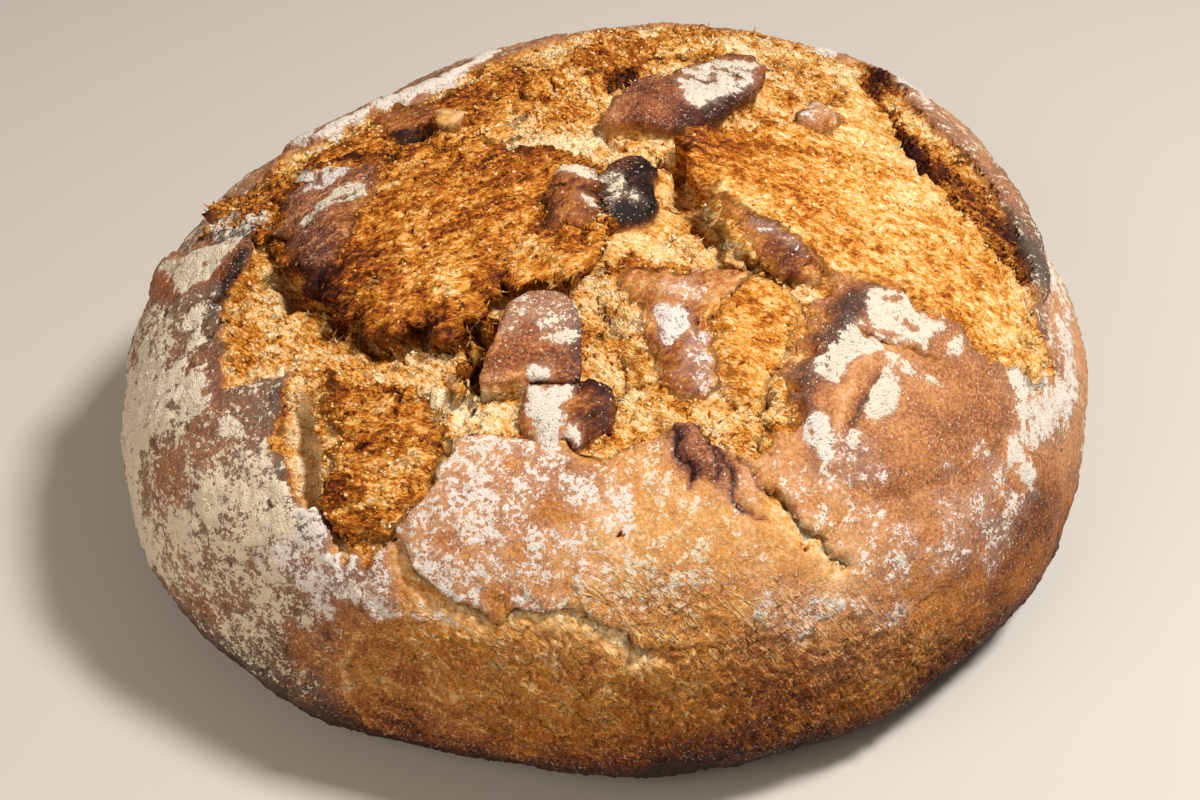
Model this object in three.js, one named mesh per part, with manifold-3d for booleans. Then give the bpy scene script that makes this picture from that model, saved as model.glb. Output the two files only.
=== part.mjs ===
// A round durum wheat loaf, baked free on the hearth: a floured dome whose crown has burst into a wide
// torn mouth, with islands of crust and toasted crumb standing in it. The loaf is one solid.
// Millimetres, +Z up, with the origin on the flat underside, below the crown.
// A place on the crust is [east, north]: millimetres walked over the crust from the middle of the crown.
import * as THREE from "three";
import { mergeVertices } from "three/addons/utils/BufferGeometryUtils.js";
import Module from "manifold-3d";

// Driving dimensions of the dome
const MEAN_RADIUS = 165;
const LOAF_HEIGHT = 132;
const BELLY_HEIGHT = 35; // level at which the loaf is widest
const BASE_SHARE = 0.84; // radius of the flat underside, as a share of the belly's
const SHOULDER_REACH = 0.9; // powers of sine and cosine in the profile: lower is squarer
const SHOULDER_DROP = 0.75;
const PLAN_LOBES = [
  { waves: 2, cosine: 0.016, sine: 0.045 },
  { waves: 3, cosine: -0.024, sine: -0.016 },
];
const DOME_SEGMENTS = 72;
const CROWN_RINGS = 20;
const BELLY_RINGS = 5;
const WALK_STOPS = 20; // points of the walked profile for each ring
const NEARBY = 0.5; // distance over which the dome's slope is taken
const SMALLEST_CHANGE = 0.08; // slivers that the cuts leave are smoothed away within this distance

// The torn mouth: its outline runs along the broken edge of the outer crust
const MOUTH_DEPTH = 9; // in the middle
const MOUTH_RIM_DEPTH = 15; // in the gap along the rim
const MOUTH_BACK_SHARE = 0.35; // what is left of the depth at the back
const MOUTH_BACK = [40, 100]; // the depth runs out between these distances north
const MOUTH_UNDERCUT = 0.985; // share of the outline that the floor reaches
const MOUTH_LID = 30; // height of the cut above the crust, clear of everything
const MOUTH_STEPS = 80;
const MOUTH_RINGS = 12;
const MOUTH_OUTLINE = [
  [-126, -14], [-128, -32], [-126, -52], [-118, -68], [-106, -72], [-102, -92], [-101, -118], [-90, -137],
  [-72, -138], [-58, -126], [-48, -108], [-26, -118], [0, -123], [14, -112], [34, -116], [46, -108],
  [52, -84], [64, -58], [78, -46], [110, -57], [150, -54], [154, -36], [147, -14], [147, 10],
  [140, 36], [118, 60], [104, 86], [80, 116], [40, 132], [0, 130], [-34, 124], [-57, 104],
  [-72, 78], [-96, 62], [-122, 60], [-134, 36], [-134, 8],
];

// The islands in the mouth and the lifted plates round it. The level is the height of the edge over the
// dome, the pillow what the middle adds to it, and the slope its change for each millimetre east and north.
const ISLANDS = [
  {
    name: "great slab of toasted crumb",
    outline: [
      [-108, 4], [-109, -10], [-103, -27], [-97, -45], [-86, -57], [-71, -70], [-55, -75], [-46, -64],
      [-36, -40], [-28, -10], [-14, 6], [-4, 26], [-14, 52], [-46, 52], [-84, 34],
    ],
    level: 2, pillow: 4, slope: [-0.02, -0.03],
  },
  {
    name: "east slab of golden crumb",
    outline: [
      [22, 22], [24, 0], [31, -18], [46, -32], [66, -42], [90, -48], [112, -55], [142, -50], [143, -30],
      [138, -20], [124, 0], [117, 11], [100, 32], [90, 54], [84, 84], [62, 96], [52, 62], [44, 40],
    ],
    level: -2, pillow: 3, slope: [-0.05, -0.01],
  },
  {
    name: "rolled lip on the east slab",
    outline: [[32, -18], [36, -30], [44, -38], [56, -46], [66, -40], [61, -29], [48, -20]],
    level: 1, pillow: 4, slope: [0, 0],
  },
  {
    name: "long knob",
    outline: [[-34, -34], [-24, -50], [-14, -46], [-10, -28], [-9, -4], [-15, 4], [-25, -2]],
    level: 1, pillow: 5, slope: [0, 0.04],
  },
  {
    name: "burnt knob",
    outline: [[-8, -8], [-9, -27], [-1, -31], [7, -25], [12, -16], [12, -6], [7, 4], [-3, 2]],
    level: 0, pillow: 6, slope: [0, 0.05],
  },
  {
    name: "floured island at the back",
    outline: [[-5, 30], [18, 28], [34, 30], [42, 42], [49, 57], [44, 74], [30, 74], [18, 58], [4, 44]],
    level: 2, pillow: 4, slope: [0, 0],
  },
  {
    name: "back slab of crumb",
    outline: [
      [-46, 62], [-14, 60], [16, 78], [44, 80], [60, 98], [52, 120], [14, 124], [-26, 118], [-50, 96],
    ],
    level: -1, pillow: 3, slope: [0, 0],
  },
  {
    name: "browned slab behind the great one",
    outline: [[-118, 36], [-84, 42], [-52, 58], [-56, 84], [-70, 76], [-94, 60], [-120, 58]],
    level: -2, pillow: 3, slope: [0, 0.05],
  },
  {
    name: "crust chip",
    outline: [[-36, -62], [-43, -95], [-15, -94], [-11, -84], [-14, -67], [-22, -61]],
    level: 3, pillow: 0, slope: [-0.08, 0], straight: true,
  },
  {
    name: "flap below the chip",
    outline: [[-30, -97], [-28, -110], [-22, -117], [-9, -119], [-3, -104], [-6, -95], [-16, -93]],
    level: -1, pillow: 3, slope: [0, 0.03],
  },
  {
    name: "middle hump",
    outline: [[2, -54], [9, -78], [12, -92], [24, -96], [28, -80], [30, -62], [24, -48], [12, -48]],
    level: -5, pillow: 4, slope: [0, 0],
  },
  {
    name: "middle hump to the east",
    outline: [[30, -58], [28, -82], [34, -104], [44, -108], [50, -86], [60, -64], [48, -50]],
    level: -5, pillow: 3, slope: [0, 0],
  },
  {
    name: "pleated fold",
    outline: [[13, -112], [10, -124], [18, -132], [38, -136], [58, -136], [50, -126], [38, -118], [26, -111]],
    level: 1, pillow: 3, slope: [0, 0.04],
  },
  {
    name: "east plate of outer crust",
    outline: [
      [46, -108], [60, -122], [96, -122], [126, -96], [132, -62], [104, -54], [80, -46], [62, -62], [51, -84],
    ],
    level: 0, pillow: 2, slope: [-0.06, 0.03],
  },
  {
    name: "toasted block",
    outline: [
      [-93, -82], [-93, -106], [-94, -124], [-86, -137], [-74, -137], [-60, -126], [-49, -108], [-60, -94],
      [-74, -84],
    ],
    level: -5, pillow: 4, slope: [0, -0.03],
  },
  {
    name: "white plate at the front",
    outline: [
      [-72, -139], [-60, -158], [-44, -168], [-20, -164], [4, -150], [8, -132], [0, -124], [-24, -117],
      [-48, -107], [-58, -126],
    ],
    level: 0, pillow: 1, slope: [-0.05, 0],
  },
  {
    name: "peak of the west rim",
    outline: [[-124, -4], [-146, 8], [-164, 12], [-166, -2], [-146, -16], [-127, -16]],
    level: 1, pillow: 4, slope: [0.05, 0],
  },
];
const ISLAND_ROOT = 24; // depth to which an island goes on below the dome
const ISLAND_NECK = 0.88; // share of the outline that is left at the root, under the torn overhang
const ISLAND_ROUNDING = 2.5; // drop from the top to the worn edge
const ISLAND_STEP = 8; // length of a facet along an outline
const ISLAND_RING = 12; // width of a facet across the top
const ISLAND_CRAG_SHARE = 0.6; // height of its crags, as a share of the floor's
const FEWEST_STEPS = 14;
const WORN_SHARE = 0.94; // share of the outline at which the worn edge begins

// Torn crumb stands in crags: crossed waves of unlike lengths
const CRAG_HEIGHT = 1.1;
const CRAG_WAVES = [
  { east: 0.29, north: 0.09, start: 0.4 },
  { east: -0.12, north: 0.24, start: 1.9 },
  { east: 0.19, north: -0.23, start: 4.1 },
];

const CRUST_COLOUR = 0xb9772f;
const CRUST_ROUGHNESS = 0.85;

const wasm = await Module();
wasm.setup();

// The dome's profile from the crown over the belly to the underside: share of the plan's radius, height,
// and the distance walked so far.
function walkDown() {
  const shares = [];
  for (let i = 0; i <= CROWN_RINGS * WALK_STOPS; i++) {
    const turn = (i / (CROWN_RINGS * WALK_STOPS)) * (Math.PI / 2);
    shares.push([
      Math.sin(turn) ** SHOULDER_REACH,
      BELLY_HEIGHT + (LOAF_HEIGHT - BELLY_HEIGHT) * Math.max(0, Math.cos(turn)) ** SHOULDER_DROP,
    ]);
  }
  for (let i = 1; i <= BELLY_RINGS * WALK_STOPS; i++) {
    const turn = (i / (BELLY_RINGS * WALK_STOPS)) * (Math.PI / 2);
    shares.push([
      1 - (1 - BASE_SHARE) * (1 - Math.cos(turn)),
      BELLY_HEIGHT * (1 - Math.sin(turn)),
    ]);
  }
  let walked = 0;
  return shares.map(([share, height], i) => {
    const [lastShare, lastHeight] = shares[Math.max(0, i - 1)];
    walked += Math.hypot((share - lastShare) * MEAN_RADIUS, height - lastHeight);
    return { share, height, walked };
  });
}
const WALK = walkDown();
const WALK_TO_BASE = WALK[WALK.length - 1].walked;

// Where a walk of this length from the crown ends: share of the plan's radius and height.
function afterWalk(distance) {
  let low = 0;
  let high = WALK.length - 1;
  while (high - low > 1) {
    const middle = (low + high) >> 1;
    if (WALK[middle].walked > distance) high = middle;
    else low = middle;
  }
  const part = (distance - WALK[low].walked) / (WALK[high].walked - WALK[low].walked);
  return {
    share: THREE.MathUtils.lerp(WALK[low].share, WALK[high].share, part),
    height: THREE.MathUtils.lerp(WALK[low].height, WALK[high].height, part),
  };
}

// The plan's radius towards a compass angle: the mean radius with its slow lobes.
function planRadius(angle) {
  return PLAN_LOBES.reduce(
    (radius, { waves, cosine, sine }) =>
      radius + MEAN_RADIUS * (cosine * Math.cos(waves * angle) + sine * Math.sin(waves * angle)),
    MEAN_RADIUS,
  );
}

// The point of the plain dome at a place on the crust.
function domePoint(east, north) {
  const angle = Math.atan2(north, east);
  const { share, height } = afterWalk(Math.min(Math.hypot(east, north), WALK_TO_BASE));
  const radius = share * planRadius(angle);
  return new THREE.Vector3(radius * Math.cos(angle), radius * Math.sin(angle), height);
}

// The point that stands this high over the dome, square to it.
function crustPoint(east, north, rise) {
  const eastward = domePoint(east + NEARBY, north).sub(domePoint(east - NEARBY, north));
  const northward = domePoint(east, north + NEARBY).sub(domePoint(east, north - NEARBY));
  const outward = eastward.cross(northward).normalize();
  return domePoint(east, north).addScaledVector(outward, rise);
}

// Height of the crags at a place.
function crag(east, north) {
  return CRAG_WAVES.reduce(
    (height, wave) => height + CRAG_HEIGHT * Math.sin(wave.east * east + wave.north * north + wave.start),
    0,
  );
}

// A closed outline through the corners: torn and rounded, or straight from corner to corner.
function closedOutline(corners, straight) {
  const places = corners.map(([east, north]) => new THREE.Vector3(east, north, 0));
  if (!straight) return new THREE.CatmullRomCurve3(places, true, "catmullrom");
  const path = new THREE.CurvePath();
  places.forEach((place, i) => path.add(new THREE.LineCurve3(place, places[(i + 1) % places.length])));
  return path;
}

// A slab turned on the lathe and bent over the crust. Its section runs from the middle of the underside
// out to the edge and back to the middle of the top: [share of the way to the outline, rise].
// The rise becomes riseAt(place, share, rise).
function bentSlab(section, outline, middle, steps, riseAt) {
  const turned = new THREE.LatheGeometry(section.map(([share, rise]) => new THREE.Vector2(share, rise)), steps);
  const points = turned.getAttribute("position");
  for (let i = 0; i < points.count; i++) {
    const [share, rise] = section[i % section.length];
    const turn = (Math.floor(i / section.length) % steps) / steps;
    const place = outline.getPointAt(turn).sub(middle).multiplyScalar(share).add(middle);
    const bent = crustPoint(place.x, place.y, riseAt(place, share, rise));
    points.setXYZ(i, bent.x, bent.y, bent.z);
  }
  return solidOf(turned);
}

// A closed geometry as a solid that can be joined and cut.
function solidOf(geometry) {
  const bare = geometry.clone().deleteAttribute("normal").deleteAttribute("uv");
  const merged = mergeVertices(bare, 1e-3);
  const corners = merged.index.array;
  const kept = [];
  for (let i = 0; i < corners.length; i += 3) {
    const [a, b, c] = corners.slice(i, i + 3);
    if (a !== b && b !== c && c !== a) kept.push(a, b, c);
  }
  return new wasm.Manifold(
    new wasm.Mesh({
      numProp: 3,
      vertProperties: merged.getAttribute("position").array,
      triVerts: new Uint32Array(kept),
    }),
  );
}

// A solid as a geometry to show.
function geometryOf(solid) {
  const { vertProperties, triVerts } = solid.getMesh();
  const geometry = new THREE.BufferGeometry();
  geometry.setAttribute("position", new THREE.BufferAttribute(vertProperties, 3));
  geometry.setIndex(new THREE.BufferAttribute(triVerts, 1));
  geometry.computeVertexNormals();
  return geometry;
}

// The whole dome before it tears, turned on the lathe and stretched to the lobed plan.
function wholeDome() {
  const stops = [];
  for (let i = 0; i <= CROWN_RINGS + BELLY_RINGS; i++) stops.push(WALK[i * WALK_STOPS]);
  const section = [new THREE.Vector2(0, 0)];
  for (const { share, height } of stops.reverse()) section.push(new THREE.Vector2(share, height));
  const turned = new THREE.LatheGeometry(section, DOME_SEGMENTS);
  const points = turned.getAttribute("position");
  for (let i = 0; i < points.count; i++) {
    const angle = Math.atan2(points.getX(i), points.getZ(i));
    const radius = Math.hypot(points.getX(i), points.getZ(i)) * planRadius(angle);
    points.setXYZ(i, radius * Math.cos(angle), radius * Math.sin(angle), points.getY(i));
  }
  return solidOf(turned);
}

// What the burst took away: a craggy floor, deepest in the gap along the rim, open to the top.
function tornMouth() {
  const floor = [];
  for (let ring = 0; ring <= MOUTH_RINGS; ring++) floor.push([(MOUTH_UNDERCUT * ring) / MOUTH_RINGS, -1]);
  const section = [...floor, [1, 0], [1, MOUTH_LID], [0, MOUTH_LID]];
  const edge = closedOutline(MOUTH_OUTLINE);
  return bentSlab(section, edge, new THREE.Vector3(), MOUTH_STEPS, (place, share, rise) => {
    if (rise >= 0) return rise;
    const backward = THREE.MathUtils.smoothstep(place.y, ...MOUTH_BACK);
    const depth = THREE.MathUtils.lerp(MOUTH_DEPTH, MOUTH_RIM_DEPTH, share ** 2);
    return crag(place.x, place.y) - depth * THREE.MathUtils.lerp(1, MOUTH_BACK_SHARE, backward);
  });
}

// An island: craggy on top, worn round at its edge, and undercut down to its root.
function island({ outline, level, pillow, slope, straight }) {
  const edge = closedOutline(outline, straight);
  const middle = outline
    .reduce((sum, [east, north]) => sum.add(new THREE.Vector3(east, north, 0)), new THREE.Vector3())
    .divideScalar(outline.length);
  const round = edge.getLength();
  const steps = Math.max(FEWEST_STEPS, Math.round(round / ISLAND_STEP));
  const rings = Math.ceil(round / (2 * Math.PI) / ISLAND_RING);
  const section = [[0, -ISLAND_ROOT], [ISLAND_NECK, -ISLAND_ROOT], [1, -ISLAND_ROUNDING]];
  for (let ring = rings; ring >= 0; ring--) section.push([(WORN_SHARE * ring) / rings, 0]);
  return bentSlab(section, edge, middle, steps, (place, share, rise) => {
    if (rise === -ISLAND_ROOT) return rise;
    const sloped = slope[0] * (place.x - middle.x) + slope[1] * (place.y - middle.y);
    const roughness = straight ? 0 : crag(place.x, place.y) * ISLAND_CRAG_SHARE;
    return level + rise + sloped + pillow * (1 - share ** 2) + roughness;
  });
}

// The outer skin alone: hollows that the islands close off are filled, and loose scraps are dropped.
function outerSkin(solid) {
  return solid.decompose().reduce((largest, each) => (each.volume() > largest.volume() ? each : largest));
}

function loaf() {
  const torn = wholeDome().subtract(tornMouth());
  const joined = ISLANDS.reduce((whole, each) => whole.add(island(each)), torn);
  return outerSkin(joined.simplify(SMALLEST_CHANGE));
}

const bread = new THREE.Group();
const crust = new THREE.MeshStandardMaterial({
  color: CRUST_COLOUR,
  roughness: CRUST_ROUGHNESS,
  metalness: 0,
});
const whole = new THREE.Mesh(geometryOf(loaf()), crust);
whole.name = "loaf";
bread.add(whole);

export default bread;
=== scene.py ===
"""Looks of a round durum wheat loaf whose crown has burst into a torn, floured mouth.

The loaf is one closed surface worked out over the crust's chart. A place on the chart is a pair, east and
north: millimetres walked over the crust from the middle of the crown. Relief, bake and flour are arrays
over that chart, and the finish reads them from the mesh.
"""

from __future__ import annotations

import functools
import itertools
import logging
import math
from collections.abc import Iterator
from dataclasses import dataclass, field
from enum import Enum

import bpy
import numpy as np
from mathutils import Euler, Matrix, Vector

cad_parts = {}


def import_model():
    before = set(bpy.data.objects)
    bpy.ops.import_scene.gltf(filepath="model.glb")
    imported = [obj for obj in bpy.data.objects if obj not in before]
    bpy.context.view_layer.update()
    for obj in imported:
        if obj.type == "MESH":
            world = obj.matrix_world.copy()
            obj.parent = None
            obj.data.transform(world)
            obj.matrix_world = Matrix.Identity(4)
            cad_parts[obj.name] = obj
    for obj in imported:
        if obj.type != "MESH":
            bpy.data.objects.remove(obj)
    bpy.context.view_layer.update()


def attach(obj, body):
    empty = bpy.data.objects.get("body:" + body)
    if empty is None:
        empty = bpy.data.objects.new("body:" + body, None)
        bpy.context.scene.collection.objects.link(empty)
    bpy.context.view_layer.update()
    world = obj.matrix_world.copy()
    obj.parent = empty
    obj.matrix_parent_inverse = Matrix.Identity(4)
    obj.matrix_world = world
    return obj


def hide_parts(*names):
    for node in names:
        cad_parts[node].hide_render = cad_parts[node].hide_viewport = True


LOG = logging.getLogger("loaf")
MM = 0.001
TINY = 1e-12
BODY = "root"

Array = np.ndarray
Place = tuple[float, float]
Outline = tuple[Place, ...]
Near = tuple[Array, Array, Array, Array]
Seat = tuple[float, float, float]
Colour = tuple[float, float, float, float]
Stops = tuple[tuple[float, str], ...]
Node = bpy.types.Node
Socket = bpy.types.NodeSocket
Tree = bpy.types.NodeTree
Piece = bpy.types.Object
Material = bpy.types.Material


def linear(code: str) -> Colour:
    """Turns a display colour into the linear one that a shader takes.

    Args:
        code: six hexadecimal digits, red, green and blue.

    Returns:
        Linear red, green, blue and full alpha.
    """
    shares = [int(code[i : i + 2], 16) / 255 for i in (0, 2, 4)]
    bent = [s / 12.92 if s <= 0.04045 else ((s + 0.055) / 1.055) ** 2.4 for s in shares]
    return (bent[0], bent[1], bent[2], 1.0)


def ease(start: float, end: float, value: Array) -> Array:
    """Rises smoothly from 0 at start to 1 at end: three squared shares less two cubed ones."""
    share = np.clip((value - start) / (end - start), 0.0, 1.0)
    return share * share * (3.0 - 2.0 * share)


def bump(value: Array, width: float) -> Array:
    """A bell of height 1 at 0: e to the minus square of value over width."""
    return np.exp(-np.square(value / width))


def blend(before: Array, after: Array | float, share: Array) -> Array:
    """Goes from before to after by a share."""
    return before + (after - before) * share


def unit(vectors: Array) -> Array:
    """Brings each row to a length of 1."""
    return vectors / np.maximum(np.linalg.norm(vectors, axis=1, keepdims=True), TINY)


class Noise:
    """Seeded noise over points in millimetres: random slopes at lattice corners, blended between them."""

    SLOPES = np.array(
        [
            (1, 1, 0), (-1, 1, 0), (1, -1, 0), (-1, -1, 0), (1, 0, 1), (-1, 0, 1), (1, 0, -1), (-1, 0, -1),
            (0, 1, 1), (0, -1, 1), (0, 1, -1), (0, -1, -1), (1, 1, 0), (-1, 1, 0), (0, -1, 1), (0, -1, -1),
        ],
        dtype=np.float32,
    )
    PRIMES = (np.uint32(0x8DA6B343), np.uint32(0xD8163841), np.uint32(0xCB1AB31F))
    FULL = 1.5
    LOW_BITS = np.uint32(0xFFFF)
    HALF = np.uint32(16)
    CHANCES = np.uint32(1009)

    @staticmethod
    def stirred(mixed: Array, seed: int) -> Array:
        """Spreads whole numbers evenly by shifts and products; another seed spreads them another way."""
        mixed = mixed ^ np.uint32((seed * 0x9E3779B1) & 0xFFFFFFFF)
        mixed ^= mixed >> np.uint32(15)
        mixed *= np.uint32(0x2C1B3C6D)
        mixed ^= mixed >> np.uint32(12)
        mixed *= np.uint32(0x297A2D39)
        return mixed ^ (mixed >> np.uint32(15))

    @classmethod
    def plain(cls, points: Array, size: float, seed: int) -> Array:
        """One octave: the slope at each of a cell's eight corners, weighted by a quintic fade.

        Args:
            points: N by 3, in millimetres.
            size: width of a cell in millimetres.
            seed: another seed gives another noise.

        Returns:
            N values, mostly within -1 and 1.
        """
        scaled = np.ascontiguousarray((points / size).T, dtype=np.float32)
        cell = np.floor(scaled)
        inner = scaled - cell
        whole = cell.astype(np.int32).astype(np.uint32)
        fade = inner**3 * (inner * (inner * 6.0 - 15.0) + 10.0)
        keys = [(row * prime, (row + np.uint32(1)) * prime) for row, prime in zip(whole, cls.PRIMES)]
        weights = [(1.0 - row, row) for row in fade]
        total = np.zeros(len(points), dtype=np.float32)
        for index in range(8):
            i, j, k = index & 1, (index >> 1) & 1, index >> 2
            pick = cls.stirred(keys[0][i] ^ keys[1][j] ^ keys[2][k], seed) & np.uint32(15)
            lean = cls.SLOPES[:, 0][pick] * (inner[0] - i)
            lean += cls.SLOPES[:, 1][pick] * (inner[1] - j)
            lean += cls.SLOPES[:, 2][pick] * (inner[2] - k)
            total += lean * weights[0][i] * weights[1][j] * weights[2][k]
        return total.astype(float) * cls.FULL

    @classmethod
    def cells(cls, east: Array, north: Array, spacing: float, seed: int) -> tuple[Array, Array]:
        """Scattered seeds, one in each square of a chart.

        Args:
            east: places.
            north: places.
            spacing: width of a square in millimetres.
            seed: another seed gives other places.

        Returns:
            Distance to the nearest seed in millimetres, and a chance number of that seed.
        """
        x = (east / spacing).astype(np.float32)
        y = (north / spacing).astype(np.float32)
        nearest = np.full(len(x), np.inf, dtype=np.float32)
        chance = np.zeros(len(x), dtype=np.float32)
        for index in range(9):
            i = np.floor(x) + (index % 3 - 1)
            j = np.floor(y) + (index // 3 - 1)
            key = i.astype(np.int32).astype(np.uint32) * cls.PRIMES[0]
            spread = cls.stirred(key ^ (j.astype(np.int32).astype(np.uint32) * cls.PRIMES[1]), seed)
            seat_x = i + (spread & cls.LOW_BITS) / np.float32(cls.LOW_BITS)
            seat_y = j + (spread >> cls.HALF) / np.float32(cls.LOW_BITS)
            gap = np.hypot(seat_x - x, seat_y - y)
            closer = gap < nearest
            nearest = np.where(closer, gap, nearest)
            chance = np.where(closer, (spread % cls.CHANCES) / np.float32(cls.CHANCES), chance)
        return nearest.astype(float) * spacing, chance.astype(float)


@dataclass(frozen=True)
class Waves:
    """One noise: its height, the width of its largest cells in millimetres, its octaves and its seed."""

    height: float
    size: float
    octaves: int
    seed: int

    GAIN = 0.5
    STEP = 2.03

    def layers(self, points: Array, other: int = 0) -> Iterator[tuple[float, Array]]:
        """Gain and noise of each octave, about half as high and twice as fine as the one before."""
        for octave in range(self.octaves):
            size = self.size / self.STEP**octave
            yield self.GAIN**octave, Noise.plain(points, size, self.seed + other + octave)

    def over(self, points: Array, other: int = 0) -> Array:
        """Octaves added up at points, N by 3; another number gives another noise of the same kind."""
        return self.height * sum(gain * noise for gain, noise in self.layers(points, other))

    def crested(self, points: Array) -> Array:
        """Sharp crests from 0 to about the height: 1 less the size of the noise, squared, in octaves."""
        folds = ((gain, np.clip(1.0 - np.abs(noise), 0.0, 1.0)) for gain, noise in self.layers(points))
        total = sum(gain * np.square(fold) for gain, fold in folds)
        return self.height * total / (2.0 - self.GAIN ** (self.octaves - 1))


@dataclass(frozen=True)
class Pits:
    """Scattered pits, at most one in each square of the chart.

    The spacing is the width of a square. A square whose chance is below the missing share has no pit. A
    pit's radius is the least one plus the spread times its chance.
    """

    spacing: float
    least: float
    spread: float
    depth: float
    seed: int
    missing: float = 0.5
    floor: float = 0.3

    def holes(self, east: Array, north: Array) -> Array:
        """1 on the floor of a pit, easing to 0 at its radius."""
        gap, chance = Noise.cells(east, north, self.spacing, self.seed)
        return ease(1.0, self.floor, gap / (self.least + self.spread * chance)) * (chance > self.missing)


SWELLING = Waves(2.2, 70.0, 2, 1)
DIMPLES = Waves(0.55, 14.0, 2, 4)
PEBBLES = Waves(0.22, 3.6, 2, 7)
MOTTLE = Waves(1.0, 28.0, 3, 11)
WARMTH = Waves(0.2, 40.0, 1, 15)
LUMPS = Waves(1.7, 17.0, 2, 20)
CRESTS = Waves(2.4, 5.2, 3, 24)
STRANDS = Waves(0.6, 2.1, 2, 28)
STREAKS = (Waves(1.2, 11.0, 1, 36), Waves(1.0, 4.4, 2, 37))
STRAYS = (Waves(4.6, 14.0, 1, 40), Waves(3.4, 6.0, 1, 44), Waves(1.5, 2.6, 1, 48))
UNEVEN = Waves(1.6, 5.0, 1, 52)
DRIFT = Waves(1.0, 9.0, 3, 60)
CLUMPS = Waves(1.0, 3.4, 2, 64)
FLAKES = Waves(1.0, 5.0, 2, 66)
SHAKE = Waves(0.7, 2.4, 2, 70)
PORES = (Pits(8.0, 0.76, 1.9, 2.6, 31), Pits(4.2, 0.4, 1.0, 1.4, 33))
POCKS = Pits(10.0, 0.4, 1.8, 0.6, 90, missing=0.45)


class Edge(Enum):
    """How a broken edge looks: half width of its wall in millimetres, and how ragged it is."""

    TORN = (1.6, 1.0)
    STRAIGHT = (0.5, 0.06)
    WORN = (1.8, 0.28)
    ROLLED = (4.5, 0.5)

    def __init__(self, wall: float, raggedness: float) -> None:
        """Keeps both by name."""
        self.wall = wall
        self.raggedness = raggedness


class Skin(Enum):
    """What the top of a piece of crown is: share of crumb."""

    CRUST = 0.0
    SCORCHED = 0.45
    CRUMB = 1.0


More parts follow.
